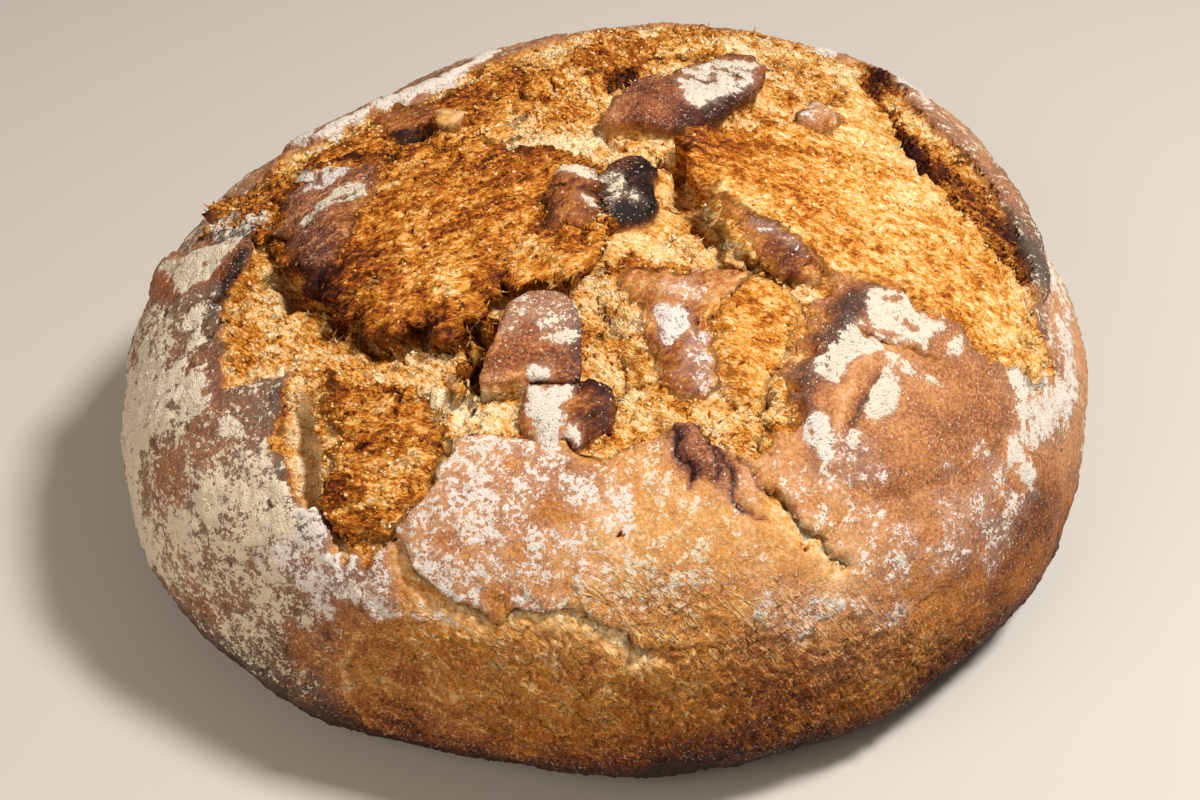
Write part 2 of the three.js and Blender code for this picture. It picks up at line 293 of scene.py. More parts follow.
class ChartTable:
    """Distances to one line on the chart, kept on a square table and read between its entries."""

    TAPER = 0.14
    LAST_ENTRY = 1.001

    def __init__(self, corners: Outline, closed: bool, rounded: bool, reach: float) -> None:
        """Measures the table.

        Args:
            corners: the line's corners; a closed line runs counterclockwise.
            closed: whether the last corner joins the first.
            rounded: whether the line runs smoothly through its corners.
            reach: how far from the line the table goes, in millimetres.
        """
        line = np.array(corners, dtype=float)
        if rounded:
            line = self.smoothed(line, closed)
        ends = np.roll(line, -1, axis=0) if closed else line[1:]
        starts = line if closed else line[:-1]
        self.low = np.floor(line.min(axis=0) - reach)
        self.high = np.ceil(line.max(axis=0) + reach)
        axes = [np.arange(self.low[k], self.high[k] + 1.0) for k in range(2)]
        east, north = np.meshgrid(*axes, indexing="ij")
        distance, right, self.along = self.measure(east, north, starts, ends)
        inner = self.within(east, north, starts, ends) if closed else right
        self.distance = np.where(inner, -distance, distance)
        self.slope = np.gradient(self.distance)

    @staticmethod
    def smoothed(corners: Array, closed: bool, steps: int = 4) -> Array:
        """Runs a Catmull-Rom curve through the corners.

        Args:
            corners: M by 2.
            closed: whether the curve closes.
            steps: pieces between two corners.

        Returns:
            Points of the curve.
        """
        if closed:
            padded = np.vstack([corners[-1], corners, corners[:2]])
        else:
            padded = np.vstack([2 * corners[0] - corners[1], corners, 2 * corners[-1] - corners[-2]])
        t = (np.arange(steps) / steps)[None, :, None]
        p0, p1, p2, p3 = (padded[k : len(padded) - 3 + k, None, :] for k in range(4))
        bend = (2 * p0 - 5 * p1 + 4 * p2 - p3) * t**2 + (3 * p1 - p0 - 3 * p2 + p3) * t**3
        points = (0.5 * (2 * p1 + (p2 - p0) * t + bend)).reshape(-1, 2)
        return points if closed else np.vstack([points, corners[-1]])

    @staticmethod
    def measure(east: Array, north: Array, starts: Array, ends: Array) -> tuple[Array, Array, Array]:
        """Measures a line made of straight pieces.

        Args:
            east: places.
            north: places.
            starts: where each piece starts, M by 2.
            ends: where it ends.

        Returns:
            Distance to the nearest piece, whether a place lies to its right, and the share along it all.
        """
        nearest = np.full(east.shape, np.inf)
        right = np.zeros(east.shape, dtype=bool)
        along = np.zeros(east.shape)
        for index, (start, end) in enumerate(zip(starts, ends)):
            run = end - start
            length = max(float(run @ run), TINY)
            ahead = (east - start[0]) * run[0] + (north - start[1]) * run[1]
            share = np.clip(ahead / length, 0.0, 1.0)
            off_east = east - start[0] - share * run[0]
            off_north = north - start[1] - share * run[1]
            gap = np.hypot(off_east, off_north)
            closer = gap < nearest
            nearest[closer] = gap[closer]
            right[closer] = (run[0] * off_north - run[1] * off_east < 0)[closer]
            along[closer] = (index + share[closer]) / len(starts)
        return nearest, right, along

    @staticmethod
    def within(east: Array, north: Array, starts: Array, ends: Array) -> Array:
        """Whether a place lies inside a closed line: going east, it crosses that an odd number of times."""
        odd = np.zeros(east.shape, dtype=bool)
        for start, end in zip(starts, ends):
            spans = (start[1] > north) != (end[1] > north)
            rise = end[1] - start[1] or TINY
            crossing = start[0] + (north - start[1]) / rise * (end[0] - start[0])
            odd ^= spans & (east < crossing)
        return odd

    def read(self, table: Array, east: Array, north: Array) -> Array:
        """Reads a table between its entries, and at its border beyond them.

        Args:
            table: one of this object's tables.
            east: places to read.
            north: places to read.

        Returns:
            One value for each place.
        """
        x = np.clip(east - self.low[0], 0.0, table.shape[0] - self.LAST_ENTRY)
        y = np.clip(north - self.low[1], 0.0, table.shape[1] - self.LAST_ENTRY)
        i = x.astype(int)
        j = y.astype(int)
        low = blend(table[i, j], table[i + 1, j], x - i)
        high = blend(table[i, j + 1], table[i + 1, j + 1], x - i)
        return blend(low, high, y - j)

    def gap(self, east: Array, north: Array) -> Array:
        """Signed distance: below 0 inside a closed line, or to the right of an open one."""
        return self.read(self.distance, east, north)

    def away(self, east: Array, north: Array) -> Array:
        """Direction in which the distance grows, N by 2."""
        return np.stack([self.read(part, east, north) for part in self.slope], axis=1)

    def taper(self, east: Array, north: Array) -> Array:
        """1 along an open line, going smoothly to 0 at its two ends."""
        along = self.read(self.along, east, north)
        return ease(0.0, self.TAPER, along) * ease(1.0, 1.0 - self.TAPER, along)


@functools.lru_cache(maxsize=None)
def table_of(corners: Outline, closed: bool, reach: float, rounded: bool = True) -> ChartTable:
    """Makes each table once."""
    return ChartTable(corners, closed, rounded, reach)


@dataclass(frozen=True)
class Dome:
    """The plain dome before it tears: a lobed plan, and a profile from crown to underside."""

    mean_radius: float = 165.0
    height: float = 132.0
    belly_height: float = 35.0
    base_share: float = 0.84
    shoulder_reach: float = 0.9
    shoulder_drop: float = 0.75
    lobes: tuple[tuple[int, float, float], ...] = ((2, 0.016, 0.045), (3, -0.024, -0.016))
    stops: int = 400

    def profile(self) -> tuple[Array, Array, Array]:
        """Walks down the profile.

        The crown is a power of sine out and of cosine down, the belly a quarter ellipse, the rest flat.

        Returns:
            Distance walked, share of the plan's radius, and height, at each stop.
        """
        turn = np.linspace(0.0, math.pi / 2, self.stops)
        rise = self.height - self.belly_height
        crown_share = np.sin(turn) ** self.shoulder_reach
        crown_height = self.belly_height + rise * np.clip(np.cos(turn), 0.0, 1.0) ** self.shoulder_drop
        belly_share = 1.0 - (1.0 - self.base_share) * (1.0 - np.cos(turn[1:]))
        belly_height = self.belly_height * (1.0 - np.sin(turn[1:]))
        share = np.concatenate([crown_share, belly_share, [0.0]])
        height = np.concatenate([crown_height, belly_height, [0.0]])
        steps = np.hypot(np.diff(share) * self.mean_radius, np.diff(height))
        return np.concatenate([[0.0], np.cumsum(steps)]), share, height

    @property
    def walks(self) -> Place:
        """Distances walked from the crown to the underside's rim and to its middle."""
        _, rim, end = self.profile()[0][-3:]
        return float(rim), float(end)

    def points(self, east: Array, north: Array) -> Array:
        """The dome at places on the chart: its profile turned round the axis and stretched to the plan.

        Args:
            east: places.
            north: places.

        Returns:
            N by 3, in millimetres.
        """
        walked, share, height = self.profile()
        angle = np.arctan2(north, east)
        plan = np.full(angle.shape, self.mean_radius)
        for waves, cosine, sine in self.lobes:
            plan += self.mean_radius * (cosine * np.cos(waves * angle) + sine * np.sin(waves * angle))
        gone = np.minimum(np.hypot(east, north), walked[-1])
        radius = np.interp(gone, walked, share) * plan
        up = np.interp(gone, walked, height)
        return np.stack([radius * np.cos(angle), radius * np.sin(angle), up], axis=1)

    def normals(self, east: Array, north: Array, near: float = 0.5) -> Array:
        """Directions square to the dome: the cross product of a step east and a step north."""
        eastward = self.points(east + near, north) - self.points(east - near, north)
        northward = self.points(east, north + near) - self.points(east, north - near)
        return unit(np.cross(eastward, northward))


@dataclass
class Ground:
    """The state of the loaf's surface: one entry for each point of the grid."""

    east: Array
    north: Array
    points: Array
    ragged: Array
    height: Array
    shift: Array
    crumb: Array
    bake: Array
    warm: Array
    flour: Array
    chalk: Array
    burn: Array
    grit: Array
    way: Array

    LAYERS = ("crumb", "bake", "warm", "flour", "chalk", "burn", "grit", "way")
    CHART = ("east", "north")
    SPARE = 2.0

    @classmethod
    def over(cls, dome: Dome, east: Array, north: Array) -> Ground:
        """Starts a plain crust.

        A torn line strays from its path by three sizes of noise, east and north.

        Args:
            dome: the loaf before it tears.
            east: places on the chart.
            north: places on the chart.

        Returns:
            A ground with no relief and no bake yet.
        """
        points = dome.points(east, north)
        ragged = np.stack([sum(waves.over(points, k) for waves in STRAYS) for k in range(2)], axis=1)
        blank = [np.zeros(len(east)) for _ in cls.LAYERS]
        return cls(east, north, points, ragged, np.zeros(len(east)), np.zeros((len(east), 2)), *blank)

    def strayed(self, share: float, found: Array | slice = slice(None)) -> tuple[Array, Array]:
        """East and north of points, moved by a share of the raggedness."""
        stray = share * self.ragged[found]
        return self.east[found] + stray[:, 0], self.north[found] + stray[:, 1]

    def near(self, table: ChartTable, raggedness: float) -> Near:
        """Finds the points that a line's table reaches.

        Args:
            table: distances to the line.
            raggedness: share of the raggedness with which the points see the line.

        Returns:
            Numbers of the points, their places as moved by the raggedness, and their signed distance.
        """
        inside = np.ones(len(self.east), dtype=bool)
        for places, low, high in zip((self.east, self.north), table.low, table.high):
            inside &= (places > low + self.SPARE) & (places < high - self.SPARE)
        found = np.nonzero(inside)[0]
        east, north = self.strayed(raggedness, found)
        return found, east, north, table.gap(east, north)

    def away_from(self, place: Place) -> Array:
        """Distance of each point from a place on the chart."""
        return np.hypot(self.east - place[0], self.north - place[1])

    def turn_to(self, found: Array, share: Array, **values: Array | float) -> None:
        """Brings the named layers at the found points towards new values by a share."""
        for name, value in values.items():
            layer = getattr(self, name)
            layer[found] = blend(layer[found], value, share)

    def push(self, found: Array, lean: Array, away: Array) -> None:
        """Moves points sideways on the chart by a lean in a direction."""
        self.shift[found] += lean[:, None] * away

    def char(self, found: Array, burn: Array) -> None:
        """Blackens points that aren't as black yet: burnt crust, and painted shade in cracks, pores and
        gaps.
        """
        self.burn[found] = np.maximum(self.burn[found], burn)

    def lay_flour(self, found: Array, cover: Array, chalk: float) -> None:
        """Lays flour where it covers more than what lies there, and gives it its whiteness."""
        more = cover > self.flour[found]
        self.flour[found] = np.where(more, cover, self.flour[found])
        self.chalk[found] = np.where(more, chalk, self.chalk[found])


@dataclass(frozen=True)
class Tear:
    """Relief of torn crumb: strands that run one way, lumps under them and pores between them.

    The way is in degrees from east, and the strands are so many times longer than wide. Streaks is how much
    the bake changes along the way, and grit how strongly the finish shows its grain.
    """

    way: float = 0.0
    stretch: float = 1.0
    strands: float = 1.0
    lumps: float = 1.0
    pores: float = 1.0
    streaks: float = 0.1
    grit: float = 0.8

    STRAY = 1.2
    MEAN_CREST = 0.6
    CREST_TONE = 0.03

    @property
    def turn(self) -> float:
        """The way in radians."""
        return math.radians(self.way)

    def drawn(self, ground: Ground, found: Array) -> Array:
        """Places of the points along and across the way, the first shortened by the stretch, N by 3."""
        east, north = ground.strayed(self.STRAY, found)
        along = (east * math.cos(self.turn) + north * math.sin(self.turn)) / self.stretch
        across = north * math.cos(self.turn) - east * math.sin(self.turn)
        return np.stack([along, across, np.zeros(len(east))], axis=1)

    def relief(self, ground: Ground, found: Array) -> Array:
        """Height of the torn crumb: slow lumps, sharp crests along the way, fine grain, less the pores.

        Args:
            ground: the surface.
            found: numbers of the points that are wanted.

        Returns:
            One height for each of them, about 0, in millimetres.
        """
        drawn = self.drawn(ground, found)
        height = self.lumps * LUMPS.over(ground.points[found])
        height += self.strands * (CRESTS.crested(drawn) - self.MEAN_CREST * CRESTS.height)
        height += self.strands * STRANDS.over(drawn)
        for pits in PORES:
            height -= self.pores * pits.depth * pits.holes(ground.east[found], ground.north[found])
        return height

    def bake(self, ground: Ground, found: Array, relief: Array) -> Array:
        """What the tear adds to the tone: crests bake darker, and streaks of two sizes run its way."""
        drawn = self.drawn(ground, found)
        return self.CREST_TONE * relief + self.streaks * sum(waves.over(drawn) for waves in STREAKS)


CRUNCHY = Tear(way=24.0, stretch=1.8, strands=0.55, lumps=0.9, pores=0.8, streaks=0.13)
STRANDED = Tear(way=-34.0, stretch=2.8, strands=0.8, pores=0.6, streaks=0.2, grit=1.0)
SMOOTHED = Tear(way=-27.0, stretch=3.0, strands=0.24, lumps=0.6, pores=0.4, streaks=0.09, grit=0.5)
LAYERED = Tear(way=-4.0, stretch=3.4, strands=0.6, lumps=0.6, pores=0.6, streaks=0.24, grit=0.9)
COARSE = Tear(way=40.0, stretch=1.2, strands=1.3, lumps=1.6, pores=1.6, streaks=0.12, grit=1.0)
BAKED_OVER = Tear(way=30.0, stretch=2.0, strands=0.25, lumps=0.6, pores=0.25, streaks=0.08, grit=0.35)
ROUGHENED = Tear(way=30.0, stretch=2.0, strands=0.35, lumps=0.7, pores=0.5, grit=0.9)
CRUMPLED = Tear(way=60.0, stretch=2.2, strands=0.35, lumps=0.8, pores=0.2, streaks=0.08, grit=0.4)
CRUST_SKIN = Tear(way=-30.0, stretch=1.4, strands=0.08, lumps=0.25, pores=0.05, streaks=0.04, grit=0.3)
WRINKLED = Tear(way=-38.0, stretch=2.6, lumps=0.0, pores=0.0)


@dataclass(frozen=True)
class Island:
    """A slab, knob or plate of the crown.

    The level is the height of its edge over the dome, the pillow what its middle adds, the slope its change
    for each millimetre east and north. Tone and warm say how it is baked, and rim_tone what its edge adds.
    """

    name: str
    outline: Outline
    level: float
    pillow: float
    slope: Place = (0.0, 0.0)
    skin: Skin = Skin.CRUMB
    tear: Tear = CRUNCHY
    tone: float = 0.6
    warm: float = 0.7
    rim_tone: float = 0.0
    overhang: float = 2.0
    crumbling: float = 0.4
    edge: Edge = Edge.TORN
    swell: float = 14.0
    rounding: float = 2.0
    flour: float = 0.0

    REACH = 16.0
    WALLS = 5.0
    CRUMBLED = 5.0
    ROUNDED = 2.5
    RIM = 7.0
    FULL_STEP = 8.0
    LEANING = 1.3
    STANDS_OUT = (-1.5, 0.5)

    @property
    def table(self) -> ChartTable:
        """Distances to the outline, with sharp corners on a straight-edged piece."""
        return table_of(self.outline, True, self.REACH, self.edge is not Edge.STRAIGHT)

    def raise_on(self, ground: Ground) -> None:
        """Raises the island where its top stands above the ground.

        The top is level plus slope, plus a pillow that swells away from the edge, less a rounding there.
        Points near the edge also move sideways: the lip out and the foot in, so that the wall hangs over.

        Args:
            ground: the surface to change.
        """
        found, east, north, gap = ground.near(self.table, self.edge.raggedness)
        wall = self.edge.wall
        kept = gap < self.WALLS * wall
        found, east, north, gap = found[kept], east[kept], north[kept], gap[kept]
        middle = np.mean(np.array(self.outline), axis=0)
        inward = np.maximum(-gap, 0.0)
        relief = self.tear.relief(ground, found) * (1.0 + self.crumbling * np.exp(-inward / self.CRUMBLED))
        top = self.level + self.slope[0] * (east - middle[0]) + self.slope[1] * (north - middle[1])
        top += self.pillow * (1.0 - np.exp(-inward / self.swell))
        top += relief - self.rounding * np.exp(-inward / self.ROUNDED)
        before = ground.height[found]
        share = ease(wall, -wall, gap) * ease(*self.STANDS_OUT, top - before)
        step = np.clip((top - before) / self.FULL_STEP, 0.0, 1.0)
        uneven = 1.0 + self.crumbling * UNEVEN.over(ground.points[found])
        lip = bump(gap + wall, self.LEANING * wall) - bump(gap - wall, self.LEANING * wall)
        ground.push(found, self.overhang * step * uneven * lip, self.table.away(east, north))
        tone = self.tone + self.rim_tone * np.exp(-inward / self.RIM)
        tone += self.tear.bake(ground, found, relief)
        ground.turn_to(
            found, share, height=np.maximum(top, before), crumb=self.skin.value, warm=self.warm,
            grit=self.tear.grit, flour=self.flour, bake=tone,
        )
        ground.way[found] = np.where(share > 0.5, self.tear.turn, ground.way[found])


@dataclass(frozen=True)
class Stroke:
    """Something that follows a path over the crust, felt some widths and a margin to each side."""

    path: Outline

    WIDTHS = 3.0
    MARGIN = 6.0
    FRAYED = 0.13
    MOST_FRAYED = 1.2

    def fraying(self, width: float) -> float:
        """Share of the raggedness that a soft stroke of this width shows: the wider, the more."""
        return min(self.MOST_FRAYED, self.FRAYED * width)

    def near(self, ground: Ground, width: float, raggedness: float) -> tuple[ChartTable, Near]:
        """Finds the points within some widths of the path: its table, and what Ground.near gives."""
        table = table_of(self.path, False, self.WIDTHS * width + self.MARGIN)
        return table, ground.near(table, raggedness)


@dataclass(frozen=True)
class Hollow(Stroke):
    """A deep stretch of the mouth's floor along a path; a tone above 0 darkens it as painted shade."""

    width: float
    depth: float
    tone: float = 0.0
    ragged: float = 0.6

    SIDE = 1.5
    BED = 0.3

    def deepen(self, ground: Ground, floor: Array) -> None:
        """Lowers the floor along the path, steep at its sides and tapered to both ends, and tones it, darker
        as painted shade.
        """
        table, (found, east, north, gap) = self.near(ground, self.width, self.ragged)
        stroke = ease(self.SIDE * self.width, self.BED * self.width, np.abs(gap)) * table.taper(east, north)
        floor[found] -= self.depth * stroke
        ground.bake[found] += self.tone * stroke


@dataclass(frozen=True)
class Crack(Stroke):
    """A crack in the crust: a groove with an overhanging edge on its left and a run-out on its right,
    darkened along its bottom as painted shadow.
    """

    width: float
    depth: float
    run_out: float = 1.5
    overhang: float = 1.0
    lip: float = 0.4
    pale: float = 0.35
    bare: float = 1.0
    ragged: float = 0.55
    # How dark the painted shadow along the groove's bottom is.
    char: float = 0.82

    MARGIN = 12.0
    WALL = 1.6
    LIP = 2.4
    LIP_WIDTH = 1.4
    LEANING = 1.3
    CHARRED = 0.9
    BAKED = 0.85
    BARE = 1.3
    LEAST_BARE = 0.5

    def cut(self, ground: Ground) -> None:
        """Cuts the groove.

        Its left side is a steep wall and its floor comes up again on the right over the run-out. The left
        edge is pushed over the groove.

        Args:
            ground: the surface to change.
        """
        table, (found, east, north, gap) = self.near(ground, self.run_out, self.ragged)
        taper = table.taper(east, north)
        right = np.maximum(-gap, 0.0)
        wall = self.WALL * self.width
        groove = np.where(gap > 0, ease(wall, 0.0, gap), np.exp(-right / self.run_out))
        lips = self.lip * bump(gap - self.LIP * self.width, self.LIP_WIDTH * self.width)
        ground.height[found] += taper * (lips - self.depth * groove)
        lean = -self.overhang * taper * bump(gap - wall, self.LEANING * self.width)
        ground.push(found, lean, table.away(east, north))
        beside = bump(right, self.BARE * self.run_out + self.LEAST_BARE)
        bare = taper * self.bare * np.where(gap > 0, groove, beside)
        ground.crumb[found] = np.maximum(ground.crumb[found], bare)
        ground.turn_to(found, self.BAKED * bare, bake=self.pale)
        ground.turn_to(found, bare, flour=0.0)
        # Painted shadow: a dark line along the groove's bottom.
        ground.char(found, self.char * taper * bump(gap, self.CHARRED * self.width))


@dataclass(frozen=True)
class Crease(Stroke):
    """A fold line in the crust: a thin ridge or, with a height below 0, a thin furrow; a furrow's darker
    tone is painted shade.
    """

    height: float
    width: float
    tone: float = 0.0
    ragged: float = 0.4

    MARGIN = 8.0

    def press(self, ground: Ground) -> None:
        """Adds a bell across the path that tapers to both ends, and its tone, which darkens a furrow as
        painted shade.
        """
        table, (found, east, north, gap) = self.near(ground, self.width, self.ragged)
        line = bump(gap, self.width) * table.taper(east, north)
        ground.height[found] += self.height * line
        ground.bake[found] += self.tone * line


@dataclass(frozen=True)
class Dusting(Stroke):
    """Flour along a path: how wide, how dense, how it fades, and how chalky white it is."""

    width: float
    cover: float
    fade: float = 0.5
    chalk: float = 0.8
    on_crumb: float = 0.0
    broken: float = 0.9

    WIDTHS = 2.2
    TORN = (0.5, 0.75)

    def dust(self, ground: Ground, drift: Array) -> None:
        """Lays flour where the drift lets it: dense within the width, and thinning over the fade.

        Args:
            ground: the surface to change.
            drift: slow noise that breaks the edge up.
        """
        _, (found, _, _, gap) = self.near(ground, self.width, self.fraying(self.width))
        reach = np.abs(gap) + drift[found] * self.broken * self.width
        cover = self.cover * ease(self.width * (1.0 + self.fade), self.width * (1.0 - self.fade), reach)
        cover *= 1.0 - (1.0 - self.on_crumb) * ease(*self.TORN, ground.crumb[found])
        ground.lay_flour(found, cover, self.chalk)


@dataclass(frozen=True)
class Plaque:
    """A dried plate of flour in an outline: how dense, how chalky white, and how much has flaked off."""

    outline: Outline
    cover: float = 0.98
    chalk: float = 0.3
    flaked: float = 0.7
    ragged: float = 1.8

    REACH = 8.0
    STRAY = 0.25
    SPOTS = (0.3, 0.5)
    EDGE = (0.7, -0.9)

    def lay(self, ground: Ground, drift: Array) -> None:
        """Lays flour within the outline, with a broken edge and with bare spots where a fine noise is high.

        Args:
            ground: the surface to change.
            drift: slow noise that breaks the edge up.
        """
        found, _, _, gap = ground.near(table_of(self.outline, True, self.REACH), self.STRAY)
        spots = ease(*self.SPOTS, FLAKES.over(ground.points[found]))
        inside = ease(*self.EDGE, gap + self.ragged * drift[found])
        ground.lay_flour(found, self.cover * inside * (1.0 - self.flaked * spots), self.chalk)


@dataclass(frozen=True)
class Toast(Stroke):
    """A stroke along a path that changes tone, blackening or warmth: mostly the oven's, and painted shade in
    gaps, pores and cracks.
    """

    width: float
    tone: float = 0.0
    char: float = 0.0
    warm: float = 0.0

    WIDTHS = 2.5

    def scorch(self, ground: Ground) -> None:
        """Adds the tone, char and warmth as a bell across the path."""
        _, (found, _, _, gap) = self.near(ground, self.width, self.fraying(self.width))
        stroke = bump(gap, self.width)
        ground.bake[found] += self.tone * stroke
        ground.warm[found] += self.warm * stroke
        ground.char(found, self.char * stroke)


@dataclass(frozen=True)
class Zone:
    """How a stretch of the outer crust is baked, about a place."""

    place: Place
    tone: float
    warm: float
    flour: float = 0.0

    REACH = 26.0
    POWER = 4

    def pull(self, ground: Ground) -> Array:
        """Weight of the zone at each point: it falls off with a power of the distance."""
        return 1.0 / (1.0 + (ground.away_from(self.place) / self.REACH) ** self.POWER)


ZONES = (
    Zone((0, -150), 0.2, 0.9, 0.43),
    Zone((0, -195), 0.42, 1, 0.05),
    Zone((0, -232), 0.66, 0.95),
    Zone((-70, -185), 0.4, 0.95, 0.08),
    Zone((-90, -215), 0.55, 0.8),
    Zone((-140, -120), 0.72, 0.4, 0.76),
    Zone((-165, -60), 0.78, 0.35, 0.64),
    Zone((-150, -165), 0.8, 0.5, 0.42),
    Zone((-125, -70), 0.62, 0.2, 0.24),
    Zone((-190, -10), 0.65, 0.35, 0.55),
    Zone((-150, 60), 0.5, 0.35, 0.35),
    Zone((100, -95), 0.34, 0, 0.16),
    Zone((80, -150), 0.32, 0.6, 0.22),
    Zone((110, -175), 0.44, 0.95, 0.06),
    Zone((70, -210), 0.58, 0.9),
    Zone((160, -60), 0.4, 0.2, 0.38),
    Zone((175, -110), 0.64, 0.8),
    Zone((152, -138), 0.66, 0.9),
    Zone((165, 20), 0.36, 0.3, 0.55),
    Zone((190, 30), 0.5, 0.4, 0.25),
    Zone((130, 110), 0.45, 0.35, 0.35),
    Zone((40, 180), 0.45, 0.5, 0.3),
    Zone((-60, 170), 0.5, 0.45, 0.35),
    Zone((-140, 140), 0.6, 0.4, 0.25),
)


@dataclass
class OuterCrust:
    """The crust outside the mouth: slow swellings, a fine pebbled grain, and bake that follows the oven,
    darker towards the underside partly as painted shade.
    """

    zones: tuple[Zone, ...] = ZONES
    dents: tuple[tuple[Place, float, float], ...] = (((-108, 82), 34, 5), ((172, 36), 42, 3))
    base_tone: float = 1.35
    base_share: float = 0.85
    base_start: float = 42.0
    base_end: float = 2.0
    wrinkles: float = 0.95
    wrinkle_grit: float = 0.4
    wrinkled_north: Place = (-130.0, -175.0)
    wrinkled_height: Place = (4.0, 34.0)
    wrinkle_lift: float = 0.5
    mottle_tone: float = 0.12
    mottle_flour: float = 0.5
    pocked_east: Place = (-85.0, -110.0)
    pock_stray: float = 0.7
    pock_bare: float = 0.8
    pock_tone: float = 0.05

    def lay_on(self, ground: Ground) -> None:
        """Gives the whole ground its crust.

        Tone, warmth and flour are the zones' values weighted by their pull. The tone goes up to the base
        tone near the underside, partly the crust's own darker bake and partly painted shade. Pocks open in
        the floured side.

        Args:
            ground: the surface to change.
        """
        points = ground.points
        ground.height += SWELLING.over(points) + DIMPLES.over(points)
        ground.height += PEBBLES.over(points)
        wrinkled = ease(*self.wrinkled_north, ground.north) * ease(*self.wrinkled_height, points[:, 2])
        folds = WRINKLED.relief(ground, np.arange(len(points))) + self.wrinkle_lift
        ground.height += self.wrinkles * wrinkled * folds
        for place, reach, depth in self.dents:
            ground.height -= depth * bump(ground.away_from(place), reach)
        ground.grit[:] = CRUST_SKIN.grit + self.wrinkle_grit * wrinkled
        ground.way[:] = WRINKLED.turn
        pulls = [zone.pull(ground) for zone in self.zones]
        values = np.array([(zone.tone, zone.warm, zone.flour) for zone in self.zones])
        tone, warm, flour = values.T @ np.array(pulls) / np.maximum(sum(pulls), TINY)
        # Darker towards the underside: partly the crust's own bake and partly painted shade.
        low = ease(self.base_start, self.base_end, points[:, 2])
        mottle = MOTTLE.over(points)
        ground.bake = blend(tone + self.mottle_tone * mottle, self.base_tone, self.base_share * low)
        ground.warm = np.clip(warm + WARMTH.over(points), 0.0, 1.0)
        ground.flour = flour * (1.0 - low) * (1.0 + self.mottle_flour * mottle)
        self.pock(ground)

    def pock(self, ground: Ground) -> None:
        """Opens small bare pits where the flour lies thick on the west side."""
        pit = POCKS.holes(*ground.strayed(self.pock_stray)) * ease(*self.pocked_east, ground.east)
        ground.height -= POCKS.depth * pit
        ground.flour *= 1.0 - self.pock_bare * pit
        ground.bake += self.pock_tone * pit


MOUTH = (
    (-119, -14), (-122, -27), (-127, -42), (-122, -53), (-118, -69), (-107, -72), (-102, -79), (-102, -98),
    (-103, -114), (-100, -125), (-92, -139), (-80, -141), (-70, -137), (-57, -123), (-47, -109), (-36, -112),
    (-22, -117), (-1, -122), (14, -113), (35, -116), (52, -110), (57, -87), (66, -60), (76, -48), (110, -60),
    (134, -66), (153, -54), (155, -38), (146, -22), (144, -6), (139, 14), (129, 36), (115, 51), (104, 73),
    (99, 97), (82, 117), (40, 127), (0, 125), (-30, 108), (-46, 98), (-60, 80), (-88, 60), (-116, 44),
    (-128, 26), (-134, 10),
)
HOLLOWS = (
    # A tone above 0 darkens a hollow as painted shade.
    Hollow(((-110, -4), (-109, -20), (-105, -32), (-99, -42), (-91, -50)), 3.6, 9, 0.1),
    Hollow(((-94, -47), (-86, -54), (-76, -66), (-66, -71), (-56, -70), (-46, -73)), 3.6, 8, 0.1),
    Hollow(((-98, -78), (-97, -92), (-97, -106), (-98, -118), (-95, -129), (-86, -139)), 3.4, 12, -0.1),
    # The east rim's deep gap: its tone darkens it as painted shade.
    Hollow(((88, 100), (92, 72), (98, 47), (110, 31), (121, 10), (131, -3), (144, -22)), 3.2, 17, 0.55),
    Hollow(((150, -24), (154, -33), (157, -42)), 2, 5, 0.3),
    Hollow(((18, 24), (19, 6), (23, -10), (28, -22), (33, -34)), 4.5, 7, -0.06),
    Hollow(((14, -28), (4, -36), (-6, -44), (-12, -56)), 4, 2),
    Hollow(((-38, -62), (-42, -80), (-47, -95)), 2.2, 7, 0.3),
    Hollow(((-4, -58), (-1, -76), (0, -98)), 4, 3),
    Hollow(((-4, 22), (4, 38), (16, 52), (24, 62)), 4, 4),
    Hollow(((-100, 16), (-76, 18), (-50, 17), (-34, 14)), 3, 3, -0.2),
)
